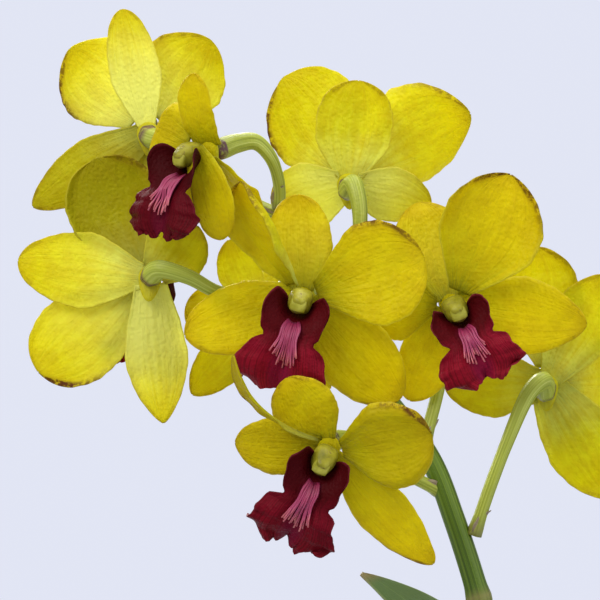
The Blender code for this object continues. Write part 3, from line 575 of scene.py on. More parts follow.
def lip_material(skin):
    """Velvet maroon lip: nearly black side lobes, wine end lobe, fine dark veins, a painted highlight along the rim and
    painted shade where a lip's shade mark asks.
    """
    material, recipe, shader = new_material("lip", 0.5, Specular_IOR_Level=0.05)
    across, along, side = recipe.layer("blade")
    skin_out = use_group(recipe, skin, Streak_Count=15.0, Cell_Scale=1500.0)
    edge = recipe.math("ABSOLUTE", across)
    wander = recipe.math("MULTIPLY", recipe.math("SUBTRACT", skin_out["Mottle"], 0.5), 0.25)
    drift = recipe.math("ADD", along, wander)
    colour = recipe.ramp(drift, [(0.0, (0.060, 0.005, 0.003)), (0.22, (0.032, 0.0006, 0.0012)),
                                 (0.44, (0.056, 0.0008, 0.0020)), (0.60, (0.290, 0.005, 0.024)),
                                 (0.84, (0.270, 0.004, 0.017)), (1.0, (0.36, 0.014, 0.030))])
    fine = recipe.combine(recipe.math("MULTIPLY", across, 34.0), recipe.math("MULTIPLY", along, 3.0), side)
    veins = recipe.smooth_step(recipe.noise(fine, 1.0, 2.0, 0.5), 0.46, 0.60)
    colour = recipe.mix(recipe.math("MULTIPLY", veins, 0.60), colour, (0.050, 0.001, 0.003, 1.0))
    middle = recipe.math("MULTIPLY", recipe.smooth_step(recipe.math("SUBTRACT", 0.36, edge), 0.0, 0.26),
                         recipe.smooth_step(along, 0.22, 0.50))
    colour = recipe.mix(recipe.math("MULTIPLY", middle, 0.60), colour, (0.34, 0.012, 0.075, 1.0))
    # painted highlight along the lip's rim, broken up by the mottle
    rim = recipe.math("MULTIPLY", recipe.smooth_step(edge, 0.92, 1.0), recipe.smooth_step(skin_out["Mottle"], 0.40, 0.60))
    colour = recipe.mix(recipe.math("MULTIPLY", rim, 0.6), colour, (0.36, 0.045, 0.065, 1.0))
    back = recipe.smooth_step(recipe.math("MULTIPLY", side, -1.0), -0.2, 0.4)
    colour = recipe.mix(recipe.math("MULTIPLY", back, 0.35), colour, (0.15, 0.006, 0.010, 1.0))
    # painted shade, as much as LIP_SHADE gives the lip
    colour = recipe.mix(recipe.layer("marks")[0], colour, (0.030, 0.0004, 0.001, 1.0))
    normal = recipe.bump(skin_out["Height"], 0.8, 0.0006)
    rough = recipe.math("ADD", 0.38, recipe.math("MULTIPLY", skin_out["Mottle"], 0.2))
    plug(recipe, shader, Base_Color=colour, Roughness=rough, Normal=normal)
    thin_mix(recipe, shader, colour, 0.10, normal)
    return material


def strand_material():
    """Pink keels whose loose ends turn salmon."""
    material, recipe, shader = new_material("keel_strands", 0.45, Subsurface_Weight=0.15)
    shader.inputs["Subsurface Radius"].default_value = (0.001, 0.0004, 0.0004)
    along = recipe.layer("blade")[1]
    own = recipe.layer("marks")[0]
    grain = recipe.noise(recipe.place(), 900.0)
    colour = recipe.ramp(along, [(0.0, (0.13, 0.006, 0.024)), (0.30, (0.30, 0.028, 0.085)), (0.75, (0.42, 0.060, 0.140)),
                                 (1.0, (0.60, 0.16, 0.15))])
    colour = recipe.mix(recipe.math("MULTIPLY", own, 0.45), colour, (0.36, 0.025, 0.11, 1.0))
    colour = recipe.mix(recipe.math("MULTIPLY", recipe.smooth_step(grain, 0.45, 0.7), 0.4), colour,
                        (0.34, 0.02, 0.08, 1.0))
    plug(recipe, shader, Base_Color=colour, Normal=recipe.bump(grain, 0.3, 0.0002))
    return material


def column_material(skin):
    """Column and its cap: greenish yellow with purple-brown flecks, and painted shade darkening the hollow under the
    hood.
    """
    material, recipe, shader = new_material("column", 0.42, Subsurface_Weight=0.2, Specular_IOR_Level=0.25)
    shader.inputs["Subsurface Radius"].default_value = (0.002, 0.002, 0.0006)
    hollow, cap, _ = recipe.layer("marks")
    skin_out = use_group(recipe, skin, Streak_Count=6.0, Cell_Scale=1400.0)
    colour = recipe.ramp(skin_out["Mottle"], [(0.30, (0.17, 0.16, 0.008)), (0.52, (0.30, 0.27, 0.014)),
                                              (0.75, (0.44, 0.41, 0.05))])
    flecks = recipe.smooth_step(recipe.noise(recipe.place(), 700.0, 3.0, 0.7), 0.58, 0.68)
    colour = recipe.mix(recipe.math("MULTIPLY", flecks, 0.55), colour, (0.10, 0.03, 0.03, 1.0))
    pale = recipe.mix(recipe.smooth_step(skin_out["Mottle"], 0.35, 0.65), (0.30, 0.28, 0.012, 1.0), (0.46, 0.44, 0.06, 1.0))
    colour = recipe.mix(cap, colour, pale)
    # painted shade in the hollow under the hood
    colour = recipe.mix(recipe.math("MULTIPLY", hollow, 0.85), colour, (0.060, 0.035, 0.002, 1.0))
    plug(recipe, shader, Base_Color=colour, Normal=recipe.bump(skin_out["Height"], 0.5, 0.0003))
    return material


def stem_material(skin):
    """Flower stem and pedicels: dark green stem, yellow-green pedicels, purple-brown collars."""
    material, recipe, shader = new_material("stem", 0.42, Subsurface_Weight=0.12, Specular_IOR_Level=0.30)
    shader.inputs["Subsurface Radius"].default_value = (0.0015, 0.002, 0.0006)
    across, along, side = recipe.layer("blade")
    pale, collar, joint = recipe.layer("marks")
    skin_out = use_group(recipe, skin, Streak_Count=14.0, Cell_Scale=1800.0)
    dark = recipe.ramp(skin_out["Streaks"], [(0.3, (0.040, 0.075, 0.006)), (0.5, (0.090, 0.155, 0.010)),
                                             (0.7, (0.160, 0.235, 0.020))])
    light = recipe.ramp(skin_out["Streaks"], [(0.3, (0.22, 0.26, 0.02)), (0.5, (0.36, 0.40, 0.045)),
                                              (0.7, (0.54, 0.58, 0.13))])
    colour = recipe.mix(pale, dark, light)
    colour = recipe.mix(recipe.math("MULTIPLY", joint, 0.6), colour, (0.30, 0.24, 0.08, 1.0))
    blotch = recipe.noise(recipe.place(), 500.0, 3.0, 0.6)
    ring = recipe.math("MULTIPLY", collar, recipe.smooth_step(blotch, 0.25, 0.55))
    colour = recipe.mix(ring, colour, (0.13, 0.055, 0.06, 1.0))
    plug(recipe, shader, Base_Color=colour, Normal=recipe.bump(skin_out["Height"], 0.5, 0.0004))
    return material


def leaf_material(skin):
    """Leathery leaf: mid green with parallel veins, pale margin, paler back and a few dry specks."""
    material, recipe, shader = new_material("leaf", 0.40, Coat_Weight=0.12, Coat_Roughness=0.25)
    across, along, side = recipe.layer("blade")
    skin_out = use_group(recipe, skin, Streak_Count=26.0, Cell_Scale=1300.0)
    place = recipe.place()
    colour = recipe.ramp(skin_out["Streaks"], [(0.25, (0.070, 0.130, 0.030)), (0.5, (0.120, 0.200, 0.050)),
                                               (0.75, (0.185, 0.280, 0.080))])
    back = recipe.mix(0.55, colour, (0.20, 0.27, 0.11, 1.0))
    colour = recipe.mix(recipe.smooth_step(side, -0.4, 0.4), back, colour)
    broad = recipe.smooth_step(recipe.noise(place, 45.0, 3.0, 0.6), 0.42, 0.68)
    colour = recipe.mix(recipe.math("MULTIPLY", broad, 0.35), colour, (0.16, 0.22, 0.06, 1.0))
    edge = recipe.math("ABSOLUTE", across)
    rib = recipe.smooth_step(recipe.math("SUBTRACT", 0.05, edge), 0.0, 0.04)
    colour = recipe.mix(recipe.math("MULTIPLY", rib, 0.55), colour, (0.24, 0.33, 0.10, 1.0))
    margin = recipe.smooth_step(edge, 0.94, 1.0)
    colour = recipe.mix(recipe.math("MULTIPLY", margin, 0.6), colour, (0.34, 0.40, 0.16, 1.0))
    foot = recipe.smooth_step(recipe.math("SUBTRACT", 0.12, along), 0.0, 0.10)
    colour = recipe.mix(recipe.math("MULTIPLY", foot, 0.6), colour, (0.30, 0.36, 0.12, 1.0))
    specks = recipe.smooth_step(recipe.noise(place, 260.0, 2.0, 0.6), 0.70, 0.76)
    colour = recipe.mix(recipe.math("MULTIPLY", specks, 0.7), colour, (0.11, 0.06, 0.02, 1.0))
    tip = recipe.math("MULTIPLY", recipe.smooth_step(along, 0.955, 0.995), 0.8)
    colour = recipe.mix(tip, colour, (0.30, 0.20, 0.07, 1.0))
    rough = recipe.math("ADD", 0.32, recipe.math("MULTIPLY", broad, 0.16))
    normal = recipe.bump(skin_out["Height"], 0.5, 0.00045)
    plug(recipe, shader, Base_Color=colour, Roughness=rough, Normal=normal)
    thin_mix(recipe, shader, colour, 0.10, normal)
    return material


def cane_material(skin):
    """Ridged cane: yellow-green turning olive, with tan rings at the joints."""
    material, recipe, shader = new_material("cane", 0.50, Subsurface_Weight=0.05)
    shader.inputs["Subsurface Radius"].default_value = (0.001, 0.0012, 0.0004)
    joint, height, _ = recipe.layer("marks")
    skin_out = use_group(recipe, skin, Streak_Count=18.0, Cell_Scale=900.0)
    place = recipe.place()
    colour = recipe.ramp(skin_out["Streaks"], [(0.28, (0.105, 0.125, 0.028)), (0.5, (0.20, 0.235, 0.055)),
                                               (0.72, (0.31, 0.34, 0.10))])
    aged = recipe.smooth_step(recipe.noise(place, 60.0, 4.0, 0.65), 0.45, 0.66)
    colour = recipe.mix(recipe.math("MULTIPLY", aged, 0.5), colour, (0.25, 0.18, 0.075, 1.0))
    low = recipe.smooth_step(recipe.math("SUBTRACT", 0.35, height), 0.0, 0.35)
    colour = recipe.mix(recipe.math("MULTIPLY", low, 0.5), colour, (0.20, 0.14, 0.07, 1.0))
    colour = recipe.mix(joint, colour, (0.16, 0.10, 0.045, 1.0))
    plug(recipe, shader, Base_Color=colour, Normal=recipe.bump(skin_out["Height"], 0.6, 0.0006))
    return material


def sheath_material(skin):
    """Dry papery sheath: silvery tan with darker fibres."""
    material, recipe, shader = new_material("sheath", 0.72)
    skin_out = use_group(recipe, skin, Streak_Count=22.0, Cell_Scale=800.0)
    colour = recipe.ramp(skin_out["Streaks"], [(0.28, (0.20, 0.13, 0.07)), (0.5, (0.42, 0.33, 0.21)),
                                               (0.72, (0.60, 0.52, 0.38))])
    stain = recipe.smooth_step(recipe.noise(recipe.place(), 130.0, 4.0, 0.65), 0.48, 0.66)
    colour = recipe.mix(recipe.math("MULTIPLY", stain, 0.5), colour, (0.22, 0.14, 0.08, 1.0))
    normal = recipe.bump(skin_out["Height"], 0.7, 0.0006)
    plug(recipe, shader, Base_Color=colour, Normal=normal)
    thin_mix(recipe, shader, colour, 0.18, normal)
    return material


def root_material():
    """Spongy grey-white root with green growing tips and soil stains."""
    material, recipe, shader = new_material("root", 0.85)
    along = recipe.layer("blade")[1]
    place = recipe.place()
    grain = recipe.noise(place, 900.0, 4.0, 0.65)
    colour = recipe.ramp(grain, [(0.3, (0.34, 0.33, 0.26)), (0.55, (0.56, 0.56, 0.47)), (0.8, (0.72, 0.72, 0.64))])
    stain = recipe.smooth_step(recipe.noise(place, 150.0, 4.0, 0.6), 0.50, 0.68)
    colour = recipe.mix(recipe.math("MULTIPLY", stain, 0.6), colour, (0.24, 0.17, 0.10, 1.0))
    colour = recipe.mix(recipe.smooth_step(along, 0.86, 0.97), colour, (0.22, 0.30, 0.07, 1.0))
    plug(recipe, shader, Base_Color=colour, Normal=recipe.bump(grain, 0.7, 0.0004))
    return material


def bark_material(name, dark):
    """Bark: layered red-brown with pale corky flecks."""
    material, recipe, shader = new_material(name, 0.88)
    tint = recipe.layer("marks")[0]
    place = recipe.place()
    layers = recipe.add("ShaderNodeMapping", None, Vector=place, Scale=(1.0, 1.6, 3.2)).outputs[0]
    grain = recipe.noise(layers, 260.0, 5.0, 0.7)
    colour = recipe.ramp(grain, [(0.28, (0.022 * dark, 0.011 * dark, 0.006 * dark)), (0.5, (0.13, 0.062, 0.030)),
                                 (0.66, (0.24, 0.125, 0.062)), (0.82, (0.40, 0.27, 0.16))])
    colour = recipe.mix(tint, colour, recipe.mix(0.5, colour, (0.30, 0.20, 0.12, 1.0)))
    damp = recipe.smooth_step(recipe.noise(place, 70.0, 3.0, 0.6), 0.45, 0.65)
    colour = recipe.mix(recipe.math("MULTIPLY", damp, 0.45), colour, (0.05, 0.028, 0.016, 1.0))
    rough = recipe.math("ADD", 0.72, recipe.math("MULTIPLY", grain, 0.25))
    plug(recipe, shader, Base_Color=colour, Roughness=rough, Normal=recipe.bump(grain, 0.9, 0.0012))
    return material


def clay_material():
    """Fired clay: fine throwing lines, darker damp foot, chalky bloom and small pits."""
    material, recipe, shader = new_material("clay", 0.86)
    place = recipe.place()
    height = recipe.add("ShaderNodeSeparateXYZ", None, Vector=place).outputs["Z"]
    grain = recipe.noise(place, 520.0, 5.0, 0.7)
    cloud = recipe.noise(place, 24.0, 5.0, 0.6)
    colour = recipe.ramp(cloud, [(0.28, (0.36, 0.125, 0.055)), (0.5, (0.50, 0.195, 0.090)), (0.72, (0.60, 0.27, 0.14))])
    colour = recipe.mix(recipe.math("MULTIPLY", recipe.smooth_step(grain, 0.35, 0.75), 0.35), colour,
                        (0.66, 0.36, 0.21, 1.0))
    patches = recipe.smooth_step(recipe.noise(place, 46.0, 6.0, 0.68), 0.52, 0.70)
    low_band = recipe.smooth_step(recipe.math("SUBTRACT", 0.060, height), 0.0, 0.055)
    rim_band = recipe.smooth_step(height, 0.086, 0.106)
    bloom = recipe.math("MULTIPLY", patches, recipe.math("ADD", 0.16, recipe.math("MULTIPLY",
                        recipe.math("MAXIMUM", low_band, rim_band), 0.55)))
    colour = recipe.mix(bloom, colour, (0.72, 0.62, 0.52, 1.0))
    damp = recipe.math("MULTIPLY", recipe.smooth_step(recipe.math("SUBTRACT", 0.022, height), 0.0, 0.02), 0.45)
    colour = recipe.mix(damp, colour, (0.22, 0.085, 0.045, 1.0))
    rings = recipe.add("ShaderNodeTexWave", {"bands_direction": "Z"}, Vector=place, Scale=190.0, Distortion=2.5,
                       Detail=2.0).outputs["Fac"]
    relief = recipe.math("ADD", recipe.math("MULTIPLY", rings, 0.30), grain)
    rough = recipe.math("ADD", 0.74, recipe.math("MULTIPLY", grain, 0.2))
    plug(recipe, shader, Base_Color=colour, Roughness=rough, Normal=recipe.bump(relief, 0.55, 0.0006))
    return material


# ---------------------------------------------------------------- flowers

def wear_mark(side, place, strength):
    """How browned a tepal's margin is, over the tepal."""
    def mark(u, v):
        near = np.exp(-((v - place) / 0.28) ** 2)
        chosen = np.ones(len(u)) if side == 0 else np.clip(0.5 + 1.5 * side * u, 0.0, 1.0)
        return strength * near * chosen
    return mark


def tepal_sheet(shape, letter, part, inner):
    """One tepal of a flower as a thin curved sheet."""
    flower = FLOWERS[letter]
    tip_offset, width, turn, cup, arch, point, wear = flower[part]
    own = OWN_WAYS.get((letter, part), {})
    face = Vector(flower["faces"]).normalized()
    hub = hub_of(letter)
    offset = vec(tip_offset)
    flat = (offset - face * offset.dot(face)).normalized()
    if inner:
        start = hub + face * 0.0026 + flat * 0.0042
        base, widest = own.get("base", 0.24), 0.60
    else:
        start = hub + flat * 0.0016 - face * 0.0006
        base, widest = own.get("base", 0.34 if part == "dorsal" else 0.50), 0.52
    start = start + vec(own.get("shift", (0.0, 0.0, 0.0)))
    seed = 1.3 * (ord(letter) - ord("a")) + 2.1 * len(part) + 0.7 * width
    ripple = (0.00075 if inner else 0.00040) * (0.8 + 0.4 * math.sin(seed))
    curl = 0.30 * math.sin(2.2 * seed) if inner else -0.14

    def shape_of(v):
        return outline(v, base, widest, point) * (1.0 + 0.025 * np.sin(9.0 * v + seed))

    surface = blade_surface(start, hub + offset, face, own.get("width", width) * MM, own.get("turn", turn), cup,
                            arch * MM, shape_of, ripple, seed, curl=curl, bow=own.get("bow", 0.0) * MM)
    sheet(shape, 28, 46, surface, 0.0006, (wear_mark(*wear), own.get("shade", 0.0), own.get("glow", 0.0)))


def flower_down(letter):
    """The flower's own down, square to the way it faces."""
    face = Vector(FLOWERS[letter]["faces"]).normalized()
    down = Vector(FLOWERS[letter]["lip_down"])
    return face, (down - face * down.dot(face)).normalized()


def add_ball(shape, across, along, place_of, marks_of):
    """A round form: place_of(direction) moves each point of a ball, marks_of paints it."""
    blade = shape.verts.layers.float_vector["blade"]
    painted = shape.verts.layers.float_vector["marks"]
    made = bmesh.ops.create_uvsphere(shape, u_segments=across, v_segments=along, radius=1.0)["verts"]
    for vertex in made:
        way = vertex.co.copy()
        vertex[blade] = (way.x, (way.z + 1) / 2, 0.0)
        vertex[painted] = marks_of(way)
        vertex.co = place_of(way)


def hub_ball(shape, letter):
    """The tepals' fused base with its short chin."""
    hub = hub_of(letter)
    face, down = flower_down(letter)
    side = face.cross(down)

    def place(way):
        chin = max(0.0, way.y) ** 2
        return (hub + side * (way.x * 0.0031) + down * (way.y * 0.0031 + chin * 0.0036)
                + face * (way.z * 0.0019 - 0.0010 - chin * 0.0016))

    add_ball(shape, 24, 14, place, lambda way: (0.0, 0.0, 0.0))


def lip_surface(letter):
    """The lip's middle surface: side lobes folding in beside the column, a notched waist on each side and
    a ruffled end in two rounded halves."""
    size, droop, broad = FLOWERS[letter]["lip"]
    face, down = flower_down(letter)
    side = np.array(face.cross(down))
    start = np.array(hub_of(letter) + face * 0.0024 + down * 0.0042)
    face, down = np.array(face), np.array(down)
    rows = np.array(LIP_HANGING) * droop + np.array(LIP_LEVEL) * (1.0 - droop)
    fine = smooth_path(rows, 121)
    steps = np.linspace(0.0, 1.0, 121)
    seed = 0.9 * (ord(letter) - ord("a")) + 0.4
    frill = LIP_FRILL.get(letter, 0.9)

    def surface(u, v):
        out, low, half, lift = (np.interp(v, steps, fine[:, column]) for column in range(4))
        edge = np.abs(u)
        lobe = np.clip((v - 0.50) / 0.12, 0.0, 1.0)
        end = np.clip((v - 0.82) / 0.18, 0.0, 1.0)
        winged = np.clip(lift / 5.0, 0.0, 1.0)
        rise = edge ** 1.5 * lift
        waist = 0.24 * np.exp(-((v - 0.535) / 0.024) ** 2) * edge ** 2
        scallop = (0.050 * np.sin(25.0 * v + seed + 1.3 * np.sign(u)) + 0.018 * np.sin(59.0 * v + 2.0 * seed)
                   + 0.006 * np.sin(113.0 * v + seed)) * edge ** 2 * np.clip((v - 0.12) / 0.1, 0.0, 1.0)
        lobe_width = 0.16 * np.exp(-((v - 0.40) / 0.09) ** 2)
        spread = u * half * broad * (1.0 - 0.10 * edge * winged - waist + frill * scallop + lobe_width)
        spread = spread - np.sign(u) * winged * np.clip((edge - 0.70) / 0.30, 0.0, 1.0) ** 2 * 1.3
        ruffle = lobe * edge ** 1.6 * (1.15 * np.sin(21.0 * v + seed + 0.9 * np.sign(u))
                                       + 0.60 * np.sin(43.0 * v + 2.0 * seed + np.sign(u))
                                       + 0.30 * np.sin(83.0 * v + seed))
        ruffle = ruffle + end * (1.1 * np.sin(8.0 * u + seed) + 0.7 * np.sin(17.0 * u + 2 * seed)
                                 + 0.35 * np.sin(33.0 * u + seed))
        notch = end * (1.9 * np.exp(-(u / 0.20) ** 2) + 0.8 * np.sin(11.0 * u + seed) * (0.3 + edge)
                       + 0.25 * np.sin(27.0 * u + seed))
        halves = 1.5 * lobe * np.exp(-((edge - 0.52) / 0.26) ** 2) * (1.0 - 0.5 * end)
        gully = -1.1 * np.exp(-(u / 0.13) ** 2) * lobe
        wing_curl = winged * edge ** 3 * 1.2
        crease = 0.8 * np.exp(-(u / 0.16) ** 2) * np.clip(v / 0.2, 0.0, 1.0) * (1.0 - lobe)
        forward = out + 0.20 * rise + frill * ruffle + halves + gully + crease + wing_curl
        drop = low - rise - frill * notch - 3.0 * end * edge ** 3
        places = face * forward[:, None] + down * drop[:, None] + side * spread[:, None]
        return start + places * (size * MM)

    return surface


def keel_strands(shape, letter):
    """Hair-like keels that run down the lip's middle in a fan and end loose."""
    rng = random.Random(40 + ord(letter))
    surface = lip_surface(letter)
    face, down = flower_down(letter)
    out = np.array(face * 0.8 - down * 0.2)
    t = np.linspace(0.0, 1.0, 16)
    for strand in range(17):
        lane = (strand - 8) / 8
        end = 0.75 + rng.uniform(-0.07, 0.05) - 0.09 * abs(lane) ** 2
        v = 0.27 + (end - 0.27) * t
        u = lane * (0.16 + 0.17 * t) + 0.010 * np.sin(5.0 * t + 2.0 * strand) + rng.uniform(-0.012, 0.012)
        lifted = 0.0004 + 0.0011 * np.sin(np.pi * (0.05 + 0.80 * t)) + rng.uniform(0.0, 0.0007)
        lifted = lifted + 0.0011 * np.clip((t - 0.75) / 0.25, 0.0, 1.0) * rng.uniform(0.0, 1.4)
        places = surface(u, v) + out * lifted[:, None]
        radius = 0.00033 - 0.00014 * t + 0.00008 * np.exp(-((t - 0.97) / 0.03) ** 2)
        swept(shape, np.hstack([places, radius[:, None]]), 6, marks=(rng.random(), 0.0, 0.0))


def column_form(shape, letter):
    """The hooded column with its hollow below and its cap."""
    hub = hub_of(letter)
    face, down = flower_down(letter)
    side = face.cross(down)

    def place(way):
        t = (way.z + 1) / 2
        flat = math.hypot(way.x, way.y) or 1.0
        x, y = way.x / flat, way.y / flat
        radial = max(1.0 - way.z ** 2, 0.0) ** 0.24
        grow = 0.0022 + 0.0010 * math.sin(math.pi * min(t, 0.85))
        square = 1.0 / max(abs(x), abs(y), 0.6) ** 0.45
        deep = 1.0 + 0.32 * max(0.0, y) * t
        dent = max(0.0, y) ** 2 * math.exp(-((t - 0.66) / 0.16) ** 2) * 0.0011
        return (hub + face * (0.0012 + 0.0090 * t + 0.0009 * max(0.0, -y) * t) + side * (x * radial * grow * square)
                + down * (y * radial * grow * square * deep - dent + 0.0014 * t * t))

    def marks(way):
        t = (way.z + 1) / 2
        flat = math.hypot(way.x, way.y) or 1.0
        # how much painted shade the hollow under the hood gets
        hollow = max(0.0, way.y / flat) ** 1.5 * math.exp(-((t - 0.84) / 0.24) ** 2)
        return (min(1.0, 1.4 * hollow), 0.0, 0.0)

    add_ball(shape, 36, 30, place, marks)

    def cap(way):
        square = 1.0 / max(abs(way.x), abs(way.y), 0.6) ** 0.6
        return (hub + face * (0.0093 + way.z * 0.0013) + side * (way.x * 0.0022 * square)
                + down * (way.y * 0.0018 * square + 0.0014))

    add_ball(shape, 24, 16, cap, lambda way: (0.0, 0.85, 0.0))


def build_flower(letter, petal, lip, strands, column):
    """Every piece of one flower."""
    name = f"flower_{letter}"
    shape = new_shape()
    for part in ("dorsal", "lateral_left", "lateral_right"):
        tepal_sheet(shape, letter, part, False)
    hub_ball(shape, letter)
    finish(f"{name}_outer_petals", shape, [petal], [f"{name}_sepals"])
    for part in ("petal_left", "petal_right"):
        shape = new_shape()
        tepal_sheet(shape, letter, part, True)
        finish(f"{name}_{part}_blade", shape, [petal], [f"{name}_{part}"])
    shape = new_shape()
    sheet(shape, 40, 56, lip_surface(letter), 0.0006, (LIP_SHADE.get(letter, 0.0), 0.0, 0.0))
    finish(f"{name}_lip_blade", shape, [lip], [f"{name}_lip"])
    shape = new_shape()
    keel_strands(shape, letter)
    finish(f"{name}_lip_strands", shape, [strands])
    shape = new_shape()
    column_form(shape, letter)
    finish(f"{name}_column_hood", shape, [column], [f"{name}_column"])


# ---------------------------------------------------------------- stems, canes, leaves, roots

def pedicel_path(letter):
    """Samples of a pedicel from the stem to the flower's back, thickening towards the flower."""
    flower = FLOWERS[letter]
    face = Vector(flower["faces"]).normalized()
    hub = hub_of(letter)
    rows = [np.array([*vec(point)]) for point in flower["pedicel"]]
    rows.append(np.array(hub - face * (HUB_BACK + 0.0022)))
    places = smooth_path(rows, 40)
    places = np.vstack([places, np.array(hub - face * (HUB_BACK - 0.0006))])
    t = np.linspace(0.0, 1.0, len(places))
    radius = 0.00165 + 0.00105 * np.clip((t - 0.30) / 0.60, 0.0, 1.0) ** 1.2 + 0.0004 * np.exp(-(t / 0.05) ** 2)
    return np.hstack([places, radius[:, None]])


def build_flower_stem(stem, dry):
    """Stem, pedicels with their collars, and the small bracts at their feet."""
    shape = new_shape()
    path = smooth_path(STEM_PATH, 150) * MM
    joints = (0.13, 0.30)
    t = np.linspace(0.0, 1.0, len(path))
    for place in joints:
        path[:, 3] += 0.0005 * np.exp(-((t - place) / 0.012) ** 2)
    swept(shape, path, 28, 9, 0.012, (lambda v: float(np.clip((v - 0.55) / 0.3, 0.0, 0.75)), 0.0,
                                      lambda v: float(sum(np.exp(-((v - place) / 0.008) ** 2) for place in joints))))
    for letter in FLOWERS:
        swept(shape, pedicel_path(letter), 24, 6, 0.045,
              (lambda v: float(np.clip(0.35 + v / 0.12, 0.0, 1.0)),
               lambda v: float(np.clip((v - 0.955) / 0.02, 0.0, 1.0)), lambda v: float(np.exp(-(v / 0.04) ** 2))))
    finish("flower_stem_skin", shape, [stem], ["flower_stem"])

    shape = new_shape()

    def bract_outline(v):
        return outline(v, 0.85, 0.25, 0.8)

    feet = [(pedicel_path(letter)[0, :3], pedicel_path(letter)[6, :3]) for letter in FLOWERS]
    rows = smooth_path(STEM_PATH, 150) * MM
    feet += [(rows[int(place * 149), :3], rows[int(place * 149) + 6, :3]) for place in joints]
    for index, (foot, ahead) in enumerate(feet):
        foot, ahead = Vector(foot), Vector(ahead)
        way = (ahead - foot).normalized()
        stem_way = Vector((-0.35, 0.1, 0.93))
        outward = (way - stem_way * way.dot(stem_way)) if index < len(FLOWERS) else Vector((1 - 2 * (index % 2), -0.4, 0))
        outward.normalize()
        start = foot - way * 0.0002 + outward * 0.0016
        surface = blade_surface(start, start + way * 0.0062 + outward * 0.0010, -outward, 0.0046, 0.0, 0.75, 0.0003,
                                bract_outline, 0.0001, index)
        sheet(shape, 10, 12, surface, 0.00025)
    finish("bracts", shape, [dry])


def build_leaves(leaf):
    """The strap leaves."""
    def leaf_outline(v):
        return outline(v, 0.30, 0.45, 0.55)

    for index, (name, (base, tip, width, face, arch, turn)) in enumerate(LEAVES.items()):
        surface = blade_surface(vec(base), vec(tip), Vector(face).normalized(), width * MM, turn, 0.10, arch * MM,
                                leaf_outline, 0.0009, 1.7 * index, fold=0.13)
        shape = new_shape()
        sheet(shape, 28, 90, surface, 0.0013)
        finish(f"{name}_blade", shape, [leaf], [name])


def cane_rows(cane):
    """Fine samples of a cane with a swollen ring at each joint, and where the joints are."""
    rows = smooth_path(cane, 170) * MM
    lengths = np.concatenate([[0.0], np.cumsum(np.linalg.norm(np.diff(rows[:, :3], axis=0), axis=1))])
    joints = np.arange(0.018, lengths[-1] - 0.004, 0.027)
    for place in joints:
        rows[:, 3] += 0.00055 * np.exp(-((lengths - place) / 0.0011) ** 2) - 0.00025 * np.exp(
            -((lengths - place - 0.0035) / 0.0024) ** 2)
    return rows, lengths, joints


def build_canes(cane_skin, sheath):
    """Rhizome, ringed canes and the dry sheaths wrapped round them."""
    shape = new_shape()
    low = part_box("canes")[0].z
    rhizome = smooth_path([(x * MM, y * MM, low + 0.0055, radius * MM) for x, y, radius in RHIZOME], 50)
    rhizome[:, 3] *= 1.0 + 0.05 * np.sin(np.linspace(0.0, 44.0, 50))
    swept(shape, rhizome, 24, 7, 0.03, (0.25, 0.0, 0.0))
    shells = new_shape()
    for index, cane in enumerate(CANES):
        rows, lengths, joints = cane_rows(cane)
        rows[-1, 3] *= 0.5
        total = lengths[-1]

        def ring(v, joints=joints, total=total):
            return float(min(1.0, sum(math.exp(-((v * total - place) / 0.0010) ** 2) for place in joints)))

        swept(shape, rows, 36, 9, 0.035, (ring, lambda v: float(v), 0.0))
        for number, place in enumerate(joints[:-1]):
            if number % 3 == 2 and index != 1:
                continue
            wrap_sheath(shells, rows, lengths, place, 0.020 + 0.004 * math.sin(number + index), number + 3 * index)
    finish("cane_skin", shape, [cane_skin], ["canes"])
    finish("cane_sheaths", shells, [sheath])


def wrap_sheath(shape, rows, lengths, place, height, seed):
    """One papery sheath: a thin wrap round a cane, split down one side, with a torn upper edge."""
    turn = 2.4 * seed
    reach = 2.75 - 0.25 * math.sin(1.3 * seed)

    def surface(u, v):
        torn = 1.0 - 0.22 * np.abs(u) ** 2 - 0.07 * np.sin(9.0 * u + seed) - 0.04 * np.sin(23.0 * u + seed)
        along = place + 0.0006 + v * height * torn
        centre = np.stack([np.interp(along, lengths, rows[:, column]) for column in range(3)], axis=1)
        radius = np.interp(along, lengths, rows[:, 3]) + 0.0006 + 0.0011 * v ** 2 + 0.0006 * np.abs(u) ** 3
        ahead = np.stack([np.interp(along + 0.002, lengths, rows[:, column]) for column in range(3)], axis=1)
        way = ahead - centre
        way /= np.maximum(np.linalg.norm(way, axis=1), 1e-9)[:, None]
        side = np.cross(way, (0.2, 1.0, 0.1))
        side /= np.linalg.norm(side, axis=1)[:, None]
        other = np.cross(way, side)
        angle = turn + reach * u
        return centre + radius[:, None] * (side * np.cos(angle)[:, None] + other * np.sin(angle)[:, None])

    sheet(shape, 40, 12, surface, 0.0003)


